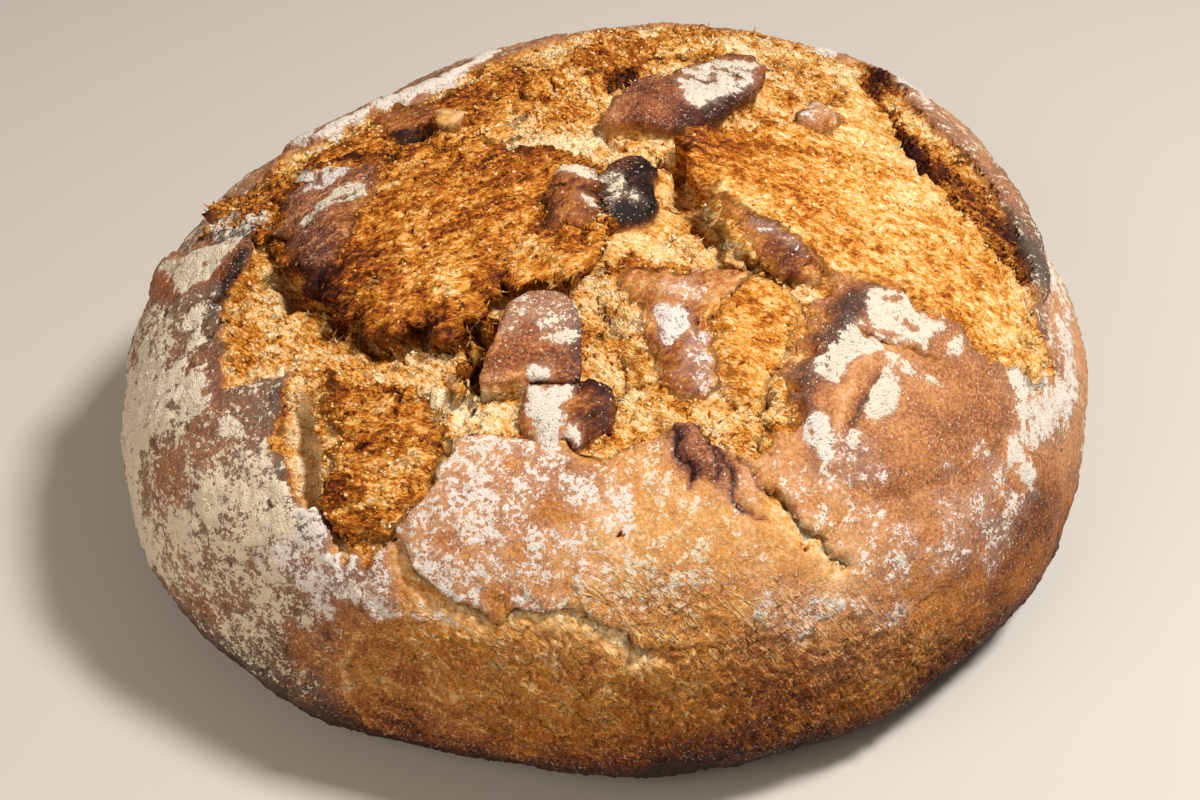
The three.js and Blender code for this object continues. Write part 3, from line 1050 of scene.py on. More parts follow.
ISLANDS = (
    Island("browned slab behind the great one",
           ((-112, 20), (-84, 23), (-60, 24), (-40, 28), (-36, 50), (-34, 80), (-46, 88), (-58, 74),
            (-74, 62), (-92, 52), (-110, 40)),
           -1, 2, (0, 0.03), tone=0.62, warm=0.4),
    Island("lifted crust behind the great slab",
           ((-90, 50), (-86, 40), (-74, 34), (-68, 40), (-66, 52), (-78, 62)), 1.5, 1, skin=Skin.SCORCHED,
           tear=BAKED_OVER, tone=0.66, warm=0.1),
    Island("tan flake", ((-67, 45), (-64, 31), (-58, 29), (-56, 38)), 3.5, 0, skin=Skin.SCORCHED,
           tear=CRUST_SKIN, tone=0.2, warm=0.8, crumbling=0, edge=Edge.STRAIGHT, rounding=0.3),
    Island("back slab of crumb",
           ((-34, 60), (-12, 58), (10, 66), (40, 74), (60, 92), (52, 112), (14, 118), (-22, 106), (-38, 88)),
           -1, 2, tear=STRANDED, tone=0.44),
    Island("torn crumb behind the peak",
           ((-141, 4), (-136, -6), (-122, -13), (-114, -20), (-107, -20), (-105, -4), (-109, 11),
            (-118, 24), (-132, 27), (-140, 16)),
           1.5, 3.5, tear=COARSE, tone=0.66, warm=0.5, rim_tone=0.08, swell=6),
    Island("great slab of toasted crumb",
           ((-108, 7), (-106, -6), (-104, -17), (-100, -27), (-96, -36), (-91, -46), (-85, -51), (-78, -59),
            (-73, -66), (-67, -69), (-60, -68), (-53, -71), (-46, -69), (-43, -61), (-36, -57), (-14, -56),
            (-10, -40), (-8, -10), (-10, 6), (-33, 12), (-66, 15), (-94, 14)),
           3, 2.5, (-0.015, -0.02), tone=0.57, rim_tone=0.3, overhang=4, crumbling=0.5),
    # Its dark tone is partly the toasted wall and partly painted shade of the deep gap.
    Island("toasted porous wall under the east rim",
           ((94, 100), (98, 66), (105, 49), (115, 36), (125, 14), (134, 2), (142, -16), (146, -20),
            (144, -6), (139, 14), (129, 36), (115, 51), (104, 73), (99, 97)),
           -6, 0, (0.75, 0.44), tear=COARSE, tone=0.88, warm=0.8, overhang=0.5, crumbling=0.8),
    Island("east rim",
           ((146, -26), (154, -18), (153, 12), (143, 40), (127, 59), (115, 80), (107, 104), (99, 108),
            (103, 76), (114, 52), (128, 38), (138, 16), (143, -8)),
           2.5, 1, skin=Skin.CRUST, tear=CRUST_SKIN, tone=0.46, warm=0.4, rim_tone=0.16, overhang=2.5,
           crumbling=0.3, edge=Edge.WORN, swell=5, rounding=0.8, flour=0.35),
    Island("east slab of golden crumb",
           ((22, 20), (23, 2), (26, -8), (30, -18), (33, -31), (38, -44), (50, -50), (64, -47), (84, -48),
            (110, -59), (134, -65), (147, -50), (145, -38), (136, -23), (125, -4), (116, 5), (103, 26),
            (95, 40), (90, 60), (88, 80), (78, 84), (73, 54), (60, 38), (46, 27), (32, 23)),
           0.5, 1.5, (-0.03, -0.015), tear=SMOOTHED, tone=0.4, overhang=3, crumbling=0.5),
    Island("rolled lip on the east slab",
           ((31, -10), (32, -20), (36, -31), (41, -41), (48, -47), (55, -51), (63, -50), (64, -43),
            (60, -35), (53, -28), (44, -23), (37, -17)),
           2, 2, skin=Skin.SCORCHED, tear=BAKED_OVER, tone=0.54, warm=0.2, rim_tone=0.06, crumbling=0,
           edge=Edge.WORN, swell=5),
    Island("browned lump on the east slab", ((57, 32), (66, 26), (74, 33), (69, 41), (60, 40)), 2.5, 2,
           skin=Skin.SCORCHED, tear=CRUMPLED, tone=0.58, warm=0.2, overhang=3, edge=Edge.ROLLED, swell=4),
    Island("scorched crust on the great slab",
           ((-104, -9), (-101, -19), (-97, -29), (-92, -38), (-87, -42), (-83, -37), (-80, -30), (-77, -21),
            (-75, -17), (-75, -5), (-79, 7), (-97, 4), (-103, 0)),
           4.4, 1.6, (-0.01, -0.02), skin=Skin.CRUST, tear=ROUGHENED, tone=0.58, warm=0, rim_tone=0.1,
           overhang=0.4, crumbling=0.3, edge=Edge.WORN, rounding=0.5),
    Island("crumb under the long knob",
           ((-11, -50), (-12, -38), (-33, -34), (-36, -42), (-31, -51), (-23, -57), (-14, -59)), 4.5, 3,
           tone=0.62, warm=0.3, swell=6),
    Island("long knob",
           ((-21, -15), (-17, -9), (-11, -10), (-10, -19), (-10, -29), (-13, -36), (-19, -37), (-25, -34),
            (-23, -25)),
           5.5, 4.5, (0, 0.05), skin=Skin.SCORCHED, tear=CRUMPLED, tone=0.64, warm=0.1, overhang=1.5,
           crumbling=0.3, edge=Edge.WORN, swell=5),
    Island("crumb under the burnt knob",
           ((-12, -30), (-12, -42), (-2, -46), (10, -42), (17, -32), (18, -14), (14, 0), (0, 4), (-8, -4)),
           -2.5, 0.5, tear=SMOOTHED, tone=0.32, overhang=1),
    Island("burnt knob",
           ((-4, -1), (1, 1), (9, -1), (12, -10), (12, -20), (8, -26), (5, -30), (-4, -34), (-10, -33),
            (-11, -28), (-9, -19), (-7, -9)),
           1.5, 3.5, (0, 0.09), skin=Skin.CRUST, tear=CRUMPLED, tone=0.8, warm=0, crumbling=0.2,
           edge=Edge.WORN, swell=4.5, rounding=1.2),
    Island("floured island at the back",
           ((-5, 33), (4, 27), (15, 25), (29, 29), (39, 40), (49, 58), (46, 76), (38, 74), (24, 64),
            (19, 57), (7, 52)),
           2, 3, (0, 0.03), skin=Skin.CRUST, tear=CRUMPLED, tone=0.5, warm=0.2, rim_tone=0.14, overhang=2.5,
           crumbling=0.2, edge=Edge.WORN),
    Island("wall beside the chip",
           ((-36, -63), (-40, -76), (-43, -90), (-44, -98), (-52, -96), (-48, -82), (-42, -70)), 0.5, 0.5,
           (0.25, 0), tear=COARSE, tone=0.56, warm=0.3, overhang=1),
    Island("pale floor in front of the chip",
           ((-64, -92), (-57, -87), (-47, -91), (-40, -97), (-28, -100), (-24, -106), (-36, -110),
            (-47, -108), (-57, -99)),
           -2.5, 0.5, tear=STRANDED, tone=0.12, overhang=0.5),
    Island("crust chip",
           ((-34, -66), (-43, -95), (-25, -95), (-13, -97), (-13, -78), (-15, -68), (-20, -63), (-28, -62)),
           2.8, 0, (-0.03, 0), skin=Skin.CRUST, tear=CRUST_SKIN, tone=0.56, warm=0.35, overhang=1.2,
           crumbling=0, edge=Edge.STRAIGHT, rounding=0.3),
    Island("flap below the chip",
           ((-29, -97), (-32, -104), (-31, -110), (-24, -117), (-15, -119), (-6, -113), (-2, -106),
            (-5, -97), (-14, -95), (-22, -95)),
           1, 2, (0, 0.03), skin=Skin.SCORCHED, tear=BAKED_OVER, tone=0.56, warm=0.1, crumbling=0.2,
           edge=Edge.WORN),
    Island("middle hump",
           ((0, -52), (12, -49), (25, -48), (38, -43), (42, -49), (30, -64), (29, -80), (30, -93),
            (22, -100), (14, -94), (9, -80), (8, -64)),
           -2, 2.5, skin=Skin.SCORCHED, tear=BAKED_OVER, tone=0.5, warm=0, overhang=1, edge=Edge.ROLLED),
    Island("middle hump to the east",
           ((42, -49), (30, -64), (29, -80), (31, -94), (36, -104), (46, -101), (52, -90), (57, -77),
            (61, -62), (56, -54)),
           -2.5, 2.5, tear=SMOOTHED, tone=0.46, overhang=1, edge=Edge.ROLLED),
    Island("pleated fold",
           ((13, -113), (15, -120), (17, -126), (20, -129), (25, -129), (31, -132), (38, -134), (34, -128),
            (37, -122), (33, -118), (27, -114), (21, -112)),
           2, 2, (0, 0.03), skin=Skin.CRUST, tear=BAKED_OVER, tone=0.47, warm=0.3, overhang=1,
           crumbling=0.2, edge=Edge.WORN, swell=5),
    Island("east plate of outer crust",
           ((71, -48), (65, -60), (59, -73), (56, -87), (54, -100), (55, -113), (60, -124), (95, -123),
            (126, -106), (132, -84), (126, -65), (110, -59), (89, -49), (80, -46)),
           1.5, 1, (-0.03, 0.02), skin=Skin.CRUST, tear=CRUST_SKIN, tone=0.49, warm=0.45, edge=Edge.ROLLED,
           flour=0.12),
    Island("toasted block",
           ((-91, -76), (-90, -97), (-92, -108), (-94, -119), (-92, -128), (-86, -137), (-70, -137),
            (-58, -122), (-48, -109), (-55, -101), (-68, -91), (-84, -82)),
           -1.6, 1.5, (0, -0.01), tear=LAYERED, tone=0.56, rim_tone=0.1, overhang=1.8),
    Island("white plate at the front",
           ((-69, -136), (-66, -147), (-62, -154), (-55, -159), (-47, -164), (-41, -169), (-34, -164),
            (-20, -164), (2, -150), (8, -132), (0, -123), (-22, -116), (-36, -112), (-47, -109),
            (-57, -123)),
           0.8, 0.6, (-0.03, 0), skin=Skin.CRUST, tear=CRUST_SKIN, tone=0.4, warm=0.8, overhang=0.2,
           crumbling=0, edge=Edge.STRAIGHT, rounding=0.2, flour=0.16),
    Island("peak of the west rim",
           ((-166, 12), (-150, 0), (-136, -9), (-121, -11), (-118, -19), (-123, -33), (-131, -25),
            (-141, -30), (-154, -22), (-166, -6)),
           1.8, 0.6, (0.03, 0.07), skin=Skin.CRUST, tear=CRUST_SKIN, tone=0.5, warm=0.3, overhang=1.5,
           crumbling=0, edge=Edge.WORN, rounding=0.6),
    Island("white lip of the north rim",
           ((-129, 54), (-107, 47), (-91, 61), (-73, 70), (-60, 86), (-50, 104), (-53, 112), (-67, 94),
            (-79, 80), (-95, 70), (-113, 60)),
           2.5, 1.5, skin=Skin.CRUST, tear=CRUST_SKIN, tone=0.5, warm=0.3, crumbling=0, edge=Edge.WORN,
           rounding=0.8),
)
LARGE_PORES = (
    ((-43, -74), 3.6), ((-9, -42), 3.4), ((-3, -48), 3), ((15, 12), 5), ((63, 9), 2.4), ((93, 17), 2.4),
    ((147, -30), 2.4), ((40, -86), 2.4), ((46, -79), 1.7), ((35, -101), 2), ((25, -72), 1.4), ((-3, 65), 6),
    ((-71, 33), 4.8), ((47, -119), 1.6), ((44, -127), 1.4), ((51, -133), 1.5), ((127, 65), 3.4),
    ((-1, -144), 1.8), ((-154, -14), 3), ((-147, -29), 2.6), ((-128, -49), 2.4), ((-132, 10), 3.6),
    ((-124, -2), 3.4), ((-121, 12), 2.8), ((-113, -4), 2.6), ((72, 12), 1.8), ((84, 20), 1.8),
    ((-24, 62), 2.2), ((59, -143), 1.6), ((70, -148), 1.4), ((40, -123), 1.2),
)


@dataclass
class TornCrown:
    """The torn mouth and the slabs, knobs and plates that stand in it and round it."""

    depth: float = 4.5
    least_depth: float = 1.5
    slope_width: float = 26.0
    back_share: float = 0.5
    back: Place = (30.0, 90.0)
    overhang: float = 2.5
    full_depth: float = 12.0
    rim_width: float = 5.0
    rim_tone: float = 0.15
    floor_tear: Tear = STRANDED
    floor_tone: float = 0.34
    floor_warm: float = 0.7
    table_reach: float = 30.0
    outline: Outline = MOUTH
    hollows: tuple[Hollow, ...] = HOLLOWS
    islands: tuple[Island, ...] = ISLANDS
    pores: tuple[tuple[Place, float], ...] = LARGE_PORES
    pore_wall: Place = (1.1, 0.6)
    pore_depth: float = 2.0
    pore_tone: float = 0.2
    pore_burn: float = 0.1
    pale_pore: float = 1.5

    @property
    def table(self) -> ChartTable:
        """Distances to the mouth's outline."""
        return table_of(self.outline, True, self.table_reach)

    def tear_open(self, ground: Ground) -> None:
        """Sinks the mouth, raises the islands in it and opens the large pores.

        The floor slopes down from the outline, runs out to the back, and is deeper along the hollows.

        Args:
            ground: the surface to change.
        """
        found, east, north, gap = ground.near(self.table, Edge.TORN.raggedness)
        wall = Edge.TORN.wall
        inside = ease(wall, -wall, gap)
        relief = self.floor_tear.relief(ground, found)
        depth = self.least_depth + self.depth * ease(0.0, self.slope_width, -gap)
        depth *= blend(np.ones(len(gap)), self.back_share, ease(*self.back, north))
        rim = np.exp(-np.maximum(gap, 0.0) / self.rim_width)
        tone = self.floor_tone + self.floor_tear.bake(ground, found, relief)
        ground.bake[found] += self.rim_tone * rim
        ground.turn_to(found, inside, bake=tone, grit=self.floor_tear.grit, warm=self.floor_warm, flour=0.0)
        ground.way[found] = np.where(inside > 0.5, self.floor_tear.turn, ground.way[found])
        floor = np.zeros(len(ground.east))
        for hollow in self.hollows:
            hollow.deepen(ground, floor)
        deep = depth - floor[found]
        lean = -self.overhang * np.clip(deep / self.full_depth, 0.0, 1.0)
        lean *= bump(gap - wall, Island.LEANING * wall) - bump(gap + wall, Island.LEANING * wall)
        ground.push(found, lean, self.table.away(east, north))
        ground.height[found] += rim
        ground.turn_to(found, inside, height=relief - deep)
        ground.crumb[found] = inside
        for island in self.islands:
            LOG.debug("raising the %s", island.name)
            island.raise_on(ground)
        for place, radius in self.pores:
            self.open_pore(ground, place, radius)

    def open_pore(self, ground: Ground, place: Place, radius: float) -> None:
        """Sinks a ragged round pore, deeper than it is wide, and darkens its bottom as painted shade, to
        black in a large one.

        Args:
            ground: the surface to change.
            place: the pore's middle.
            radius: its radius in millimetres.
        """
        east, north = ground.strayed(1.0)
        hole = ease(*self.pore_wall, np.hypot(east - place[0], north - place[1]) / radius)
        ground.height -= self.pore_depth * radius * hole
        # Painted shade: a darker bottom, and black in a large pore.
        ground.bake += self.pore_tone * hole
        ground.burn = np.maximum(ground.burn, self.pore_burn * (radius - self.pale_pore) * hole)
        ground.flour *= 1.0 - hole


CRACKS = (
    Crack(((-70, -136), (-67, -147), (-62, -154), (-55, -160), (-47, -165), (-42, -171)), 0.9, 3.6,
          run_out=4.4, overhang=0, lip=0.1, pale=0.04, bare=0.8, ragged=0.1),
    Crack(((-42, -171), (-35, -165), (-20, -165), (-11, -168), (-4, -172), (6, -179), (22, -184)), 1, 3.4,
          run_out=5, pale=0.04),
    Crack(((-36, -63), (-40, -80), (-45, -97)), 0.8, 4, run_out=0.9, overhang=0, lip=0, pale=0.75,
          ragged=0.04),
    Crack(((-45, -97), (-36, -97), (-25, -96), (-16, -97)), 0.6, 2.6, run_out=0.8, overhang=0, lip=0,
          pale=0.75, ragged=0.04),
    Crack(((-22, -116), (-16, -118), (-10, -121), (0, -122)), 0.8, 2.5, run_out=1),
    Crack(((-6, -56), (-3, -66), (-1, -76)), 1, 3),
    Crack(((-8, -77), (-1, -75), (5, -71)), 0.8, 2, run_out=1),
    Crack(((-1, -80), (0, -90), (-1, -104)), 0.8, 1.8, run_out=1),
    Crack(((47, -91), (45, -102), (48, -106), (44, -110), (42, -116)), 1, 3.5),
    Crack(((42, -125), (52, -135), (61, -140), (72, -147), (77, -149)), 1, 2.6, run_out=4.4, pale=0.22),
    Crack(((76, -70), (83, -73), (94, -73), (105, -71)), 0.6, 1.2, run_out=0.7, pale=0.6),
    Crack(((-80, -52), (-73, -50), (-64, -48)), 0.8, 2, run_out=1),
    Crack(((31, -15), (34, -29), (38, -39), (44, -47)), 1.4, 4, run_out=2, pale=0.3),
    Crack(((14, 73), (21, 77), (30, 78)), 1, 3),
    Crack(((19, 51), (26, 49), (31, 47)), 0.7, 1.4, run_out=0.8, pale=0.75),
    Crack(((29, 60), (36, 57), (42, 53)), 0.7, 1.4, run_out=0.8, pale=0.75),
    Crack(((-19, -17), (-14, -20), (-10, -19)), 0.6, 1.2, run_out=0.7, pale=0.8),
    Crack(((-124, -40), (-121, -44), (-123, -50)), 0.8, 1.6, run_out=1),
)
# A furrow, of a height below 0, darkened by a tone above 0 is painted shade.
CREASES = (
    Crease(((-84, -164), (-97, -170), (-105, -180), (-108, -190), (-104, -202), (-92, -209)), 2.2, 1.4,
           -0.3),
    Crease(((-92, -176), (-80, -182), (-68, -190)), -1.5, 1.6, 0.14),
    Crease(((-96, -188), (-86, -194), (-78, -205)), -1.3, 1.6, 0.14),
    Crease(((-100, -196), (-90, -203), (-82, -214)), -1.1, 1.4, 0.12),
    Crease(((81, -80), (74, -84), (69, -93), (67, -103), (66, -112)), 1.4, 2, -0.36),
    Crease(((84, -82), (78, -90), (73, -100), (69, -112)), -1.4, 0.9, 0.35),
    Crease(((78, -51), (72, -63), (65, -77), (59, -90), (56, -102), (57, -114)), 2.6, 3.4, 0.16),
    Crease(((13, -110), (17, -119), (21, -128), (20, -134)), -2.4, 1, 0.5),
    Crease(((20, -111), (26, -115), (28, -121), (28, -131)), -2.2, 1, 0.45),
    Crease(((27, -114), (32, -123), (35, -131), (42, -137), (48, -139)), -2.2, 0.9, 0.5),
    Crease(((33, -118), (41, -126), (47, -131), (57, -138)), -1.8, 0.9, 0.4),
    Crease(((6, -134), (14, -127), (13, -118), (10, -112)), 1.4, 1.6, 0.02),
    Crease(((0, -51), (12, -49), (25, -48), (37, -43)), 1.6, 2, 0.12),
    Crease(((24, -65), (31, -58), (38, -51), (43, -47)), 1.2, 0.9, -0.16),
    Crease(((12, -58), (11, -70), (14, -84)), -0.8, 1.4, 0.12),
    Crease(((21, -62), (22, -76), (26, -92)), -0.7, 1.4, 0.12),
    Crease(((-7, 4), (-8, -10), (-8, -25), (-11, -39), (-12, -52)), 2.2, 1.2, -0.2),
    Crease(((-33, -68), (-37, -81), (-41, -93), (-34, -94), (-26, -94), (-18, -95)), 0.3, 0.6, -0.3),
    Crease(((22, 20), (34, 23), (48, 26), (62, 32)), 1.2, 2.2, 0.24),
    Crease(((23, 18), (24, 2), (27, -9), (31, -20)), 1, 1.8, 0.16),
    Crease(((46, -24), (55, -36), (62, -47)), 1.2, 1.2, 0.2),
)
TOASTS = (
    Toast(((80, -50), (74, -59), (69, -69)), 4.4, 0.24, char=0.06, warm=-0.2),
    Toast(((66, -74), (60, -88), (56, -102), (58, -116)), 4, 0.16),
    Toast(((7, -5), (9, -14), (9, -21), (5, -26), (-2, -28)), 3, 0.2, char=1),
    Toast(((1, -9), (4, -18)), 4, 0.1, char=0.9),
    Toast(((-7, -16), (-9, -28)), 2.4, 0.1, char=0.4),
    Toast(((-22, -24), (-24, -32)), 4, 0.2, char=0.25),
    Toast(((-28, -48), (-18, -52)), 6, -0.14),
    Toast(((-99, -29), (-93, -41), (-87, -45)), 4.5, 0.16, char=0.15),
    Toast(((-92, -45), (-84, -53), (-73, -64), (-58, -67)), 7, 0.12, char=0.06),
    Toast(((-48, -64), (-52, -59)), 5, -0.2, warm=-0.4),
    Toast(((-104, -52), (-113, -40), (-112, -28)), 8, -0.04),
    Toast(((-58, -94), (-46, -101), (-36, -106)), 6, -0.1),
    Toast(((-64, -91), (-55, -93), (-48, -98)), 6, -0.2),
    Toast(((-36, 38), (-24, 28), (-14, 22)), 9, -0.26),
    Toast(((18, 4), (20, -20), (16, -34)), 9, -0.02),
    Toast(((-118, -28), (-118, -48), (-112, -66)), 4.5, 0.22),
    Toast(((-99, -80), (-100, -100), (-101, -120)), 2.4, -0.2),
    Toast(((-103, -80), (-103, -100), (-104, -116), (-100, -128)), 1.6, 0.35),
    Toast(((14, -112), (17, -117), (20, -124)), 3.4, 0.2, warm=-0.4),
    Toast(((22, -118), (30, -124), (38, -130)), 5, 0.08, warm=-0.3),
    Toast(((-8, -98), (-4, -105), (-8, -112)), 5, 0.3, char=0.05, warm=-0.5),
    Toast(((18, -84), (20, -96)), 6, 0.12),
    Toast(((43, -28), (49, -35), (54, -45)), 5, 0.25, char=0.1),
    Toast(((20, 30), (31, 34), (40, 45)), 5, 0.25, char=0.25),
    Toast(((26, 14), (40, 12), (56, 8)), 10, 0.28),
    Toast(((30, 0), (46, -4), (60, -14)), 9, 0.2),
    Toast(((84, 88), (84, 66), (96, 30)), 12, -0.12),
    Toast(((118, 4), (126, -12), (110, -24)), 16, -0.06),
    Toast(((150, 12), (152, -4), (153, -20)), 4, 0.25),
    # Darker tone and char along the east rim's gap: painted shade.
    Toast(((94, 92), (93, 67), (99, 50), (110, 38), (122, 29), (131, 16), (139, 3), (146, -13)), 5.5, 0.6,
          char=0.2),
    Toast(((-119, -20), (-122, -28), (-126, -38)), 2.2, 0.3, char=0.85),
    Toast(((-30, 74), (-14, 78), (4, 76)), 12, 0.1),
    # These three darken a pore, another pore and a crack at the back: painted shade.
    Toast(((-9, 67), (-2, 70), (4, 69)), 2.6, 0.3, char=0.2),
    Toast(((-77, 35), (-68, 36)), 2.8, 0.35, char=0.55),
    Toast(((12, 74), (21, 78), (31, 79)), 1.8, 0.3, char=0.4),
    Toast(((-86, -80), (-88, -84)), 6, 0.12, warm=-0.5),
    Toast(((-14, -68), (-12, -80), (-12, -96)), 2.4, 0.2, warm=-0.8),
)
DUSTINGS = (
    Dusting(((-119, -86), (-115, -90)), 2.5, 0.9, fade=0.3, chalk=0.3),
    Dusting(((-50, -114), (-60, -128), (-65, -141), (-56, -153)), 8, 0.55),
    Dusting(((-46, -116), (-36, -124), (-46, -140)), 12, 0.52),
    Dusting(((-74, -141), (-71, -151), (-65, -159), (-57, -165), (-49, -170)), 2.6, 0.62, chalk=0.6,
            on_crumb=0.6),
    Dusting(((-26, -122), (-14, -131), (-6, -140)), 9, 0.56),
    Dusting(((-54, -152), (-36, -154), (-12, -152)), 8, 0.5),
    Dusting(((-108, -128), (-96, -144), (-74, -150)), 10, 0.66),
    Dusting(((66, -130), (96, -138), (130, -124)), 10, 0.42, chalk=0.7),
    Dusting(((36, -150), (60, -160), (88, -150)), 9, 0.34, chalk=0.7),
    Dusting(((46, -163), (58, -167), (72, -159)), 5, 0.5, fade=0.8, chalk=0.7),
    Dusting(((83, -160), (96, -163), (100, -158)), 4.4, 0.46, fade=0.8, chalk=0.7),
    Dusting(((109, -132), (118, -124), (134, -119), (146, -103)), 5.5, 0.52, fade=0.8, chalk=0.7),
    Dusting(((106, -143), (118, -135), (130, -133)), 4.4, 0.44, fade=0.8, chalk=0.7),
    Dusting(((40, -132), (60, -128), (72, -118)), 8, 0.4, chalk=0.7),
    Dusting(((158, 4), (166, -12), (169, -40), (160, -62)), 6, 0.7, chalk=0.6),
    Dusting(((126, -110), (112, -128)), 9, 0.42, chalk=0.7),
    Dusting(((-27, -70), (-18, -73)), 7, 0.46, chalk=0.3),
    Dusting(((-15, -113), (-14, -115)), 1.8, 0.95, fade=0.3, chalk=0.6),
    Dusting(((20, -55), (19, -60)), 4, 0.5, on_crumb=0.6),
    Dusting(((21, -79), (24, -85), (28, -92)), 5, 0.5, chalk=0.9, on_crumb=0.6),
    Dusting(((-126, 56), (-107, 50), (-91, 64), (-73, 73), (-60, 88), (-51, 107)), 3.2, 0.97, fade=0.3,
            chalk=0.6, on_crumb=1),
    Dusting(((-131, 0), (-124, -6), (-118, -8)), 4, 0.72, fade=0.4, chalk=0.6, on_crumb=1),
    Dusting(((105, 98), (108, 86), (110, 76)), 3.4, 0.97, fade=0.3, on_crumb=0.5),
    Dusting(((82, 116), (78, 118)), 4, 0.9, fade=0.3, on_crumb=1),
    Dusting(((48, 108), (44, 112)), 4, 0.8, fade=0.3, on_crumb=1),
    Dusting(((46, -30), (54, -38)), 3, 0.45, on_crumb=0.6),
    Dusting(((62, 34), (70, 36)), 3.4, 0.45, on_crumb=0.6),
    Dusting(((92, -141), (93, -142)), 1.3, 1, fade=0.2, chalk=0.3),
)
PLAQUES = (
    Plaque(((77, -57), (76, -66), (77, -70), (82, -71), (90, -70), (96, -71), (100, -67), (104, -63),
            (104, -57), (99, -55), (91, -52), (84, -51))),
    Plaque(((69, -68), (67, -76), (64, -82), (60, -90), (63, -91), (67, -92), (69, -86), (74, -82),
            (81, -76), (79, -71), (75, -67))),
    Plaque(((82, -79), (81, -84), (78, -88), (75, -94), (76, -99), (78, -104), (82, -100), (86, -100),
            (88, -93), (86, -88), (84, -83), (86, -78)),
           flaked=0.4),
    Plaque(((87, -80), (87, -83), (90, -85), (94, -83), (101, -84), (102, -82), (96, -80), (93, -78)),
           ragged=0.8),
    Plaque(((56, -107), (56, -113), (59, -117), (63, -124), (67, -123), (65, -117), (64, -111), (63, -105)),
           chalk=0.6),
    Plaque(((71, -106), (69, -112), (72, -114), (73, -109)), ragged=0.8),
    Plaque(((106, -67), (108, -71), (111, -69), (111, -61)), ragged=0.8),
    Plaque(((-168, 11), (-160, -1), (-148, -19), (-141, -27), (-138, -24), (-132, -24), (-124, -22),
            (-122, -16), (-125, -10), (-131, -10), (-137, -10), (-148, -4)),
           0.92, chalk=0.1, flaked=0.5, ragged=1),
    Plaque(((-195, -59), (-163, -75), (-154, -69), (-145, -66), (-139, -76), (-133, -76), (-127, -76),
            (-127, -69), (-130, -60), (-134, -58), (-141, -53), (-150, -42), (-159, -36), (-171, -36),
            (-180, -44)),
           0.9, flaked=0.9, ragged=4),
    Plaque(((-136, -34), (-137, -43), (-135, -49), (-131, -54), (-129, -50), (-130, -45), (-133, -37)),
           ragged=0.8),
    Plaque(((132, -67), (131, -75), (135, -82), (132, -97), (136, -103), (141, -106), (148, -97),
            (147, -88), (159, -73), (154, -59), (142, -61)),
           0.78, chalk=0.5, ragged=4),
    Plaque(((-18, -6), (-18, -14), (-16, -16), (-13, -20), (-10, -17), (-10, -9), (-14, -5)), chalk=0,
           flaked=0.5),
    Plaque(((-16, -19), (-15, -24), (-11, -27), (-11, -21)), chalk=0.1),
    Plaque(((-4, -7), (1, -6), (4, -15), (0, -21), (-5, -16)), 0.62, chalk=0, flaked=1, ragged=2.5),
    Plaque(((3, -18), (8, -19), (7, -24), (3, -23)), 0.75, chalk=0, flaked=0.9, ragged=2),
    Plaque(((-7, -22), (-1, -22), (-3, -28), (-7, -27)), 0.85, chalk=0.1),
    Plaque(((-107, 12), (-102, 5), (-99, 6), (-101, 11)), chalk=0.7),
    Plaque(((-100, 0), (-94, -1), (-90, 0), (-85, 3), (-87, 6), (-93, 7), (-98, 4)), chalk=0.7),
    Plaque(((-104, -15), (-102, -17), (-97, -20), (-92, -18), (-89, -16), (-86, -13), (-81, -13),
            (-78, -13), (-79, -4), (-83, -3), (-88, -3), (-91, -9), (-95, -14), (-100, -15)),
           0.92, chalk=0.1),
    Plaque(((-27, -77), (-26, -80), (-22, -83), (-17, -85), (-13, -83), (-14, -79), (-19, -80), (-24, -79)),
           0.92, ragged=0.8),
    Plaque(((-29, -91), (-28, -95), (-24, -97), (-22, -95), (-25, -91)), chalk=0.6, ragged=0.8),
    Plaque(((-27, -98), (-28, -101), (-29, -106), (-26, -109), (-25, -115), (-21, -118), (-21, -114),
            (-17, -109), (-18, -106), (-15, -100), (-21, -98)),
           chalk=0.6, flaked=0.4, ragged=1),
    Plaque(((13, -66), (12, -72), (12, -79), (15, -81), (19, -75), (20, -67), (17, -64)), chalk=0.9,
           flaked=0.4),
    Plaque(((19, 51), (29, 64), (43, 68), (44, 56), (38, 45), (30, 35), (21, 37), (18, 46)), chalk=0.4,
           flaked=0.5),
)


@dataclass
class Weathering:
    """What the oven and the baker left on the finished form: cracks, creases, scorch marks and flour, with
    painted shade darkening cracks, furrows and gaps.
    """

    flour_left: float = 0.92
    clump_height: float = 0.35
    clump_slope: float = 0.3
    cracks: tuple[Crack, ...] = CRACKS
    creases: tuple[Crease, ...] = CREASES
    toasts: tuple[Toast, ...] = TOASTS
    dustings: tuple[Dusting, ...] = DUSTINGS
    plaques: tuple[Plaque, ...] = PLAQUES

    def wear(self, ground: Ground) -> None:
        """Puts all of it on the ground: creases, scorch marks, flour, and last the cracks that part it.

        Args:
            ground: the surface to change.
        """
        drift = DRIFT.over(ground.points)
        for crease in self.creases:
            crease.press(ground)
        for toast in self.toasts:
            toast.scorch(ground)
        for dusting in self.dustings:
            dusting.dust(ground, drift)
        for plaque in self.plaques:
            plaque.lay(ground, drift)
        for crack in self.cracks:
            crack.cut(ground)
        ground.flour = np.clip(self.flour_left * ground.flour, 0.0, 1.0)
        clumps = 0.5 + CLUMPS.over(ground.points)
        ground.height += self.clump_height * ease(0.0, self.clump_slope, ground.flour - clumps)


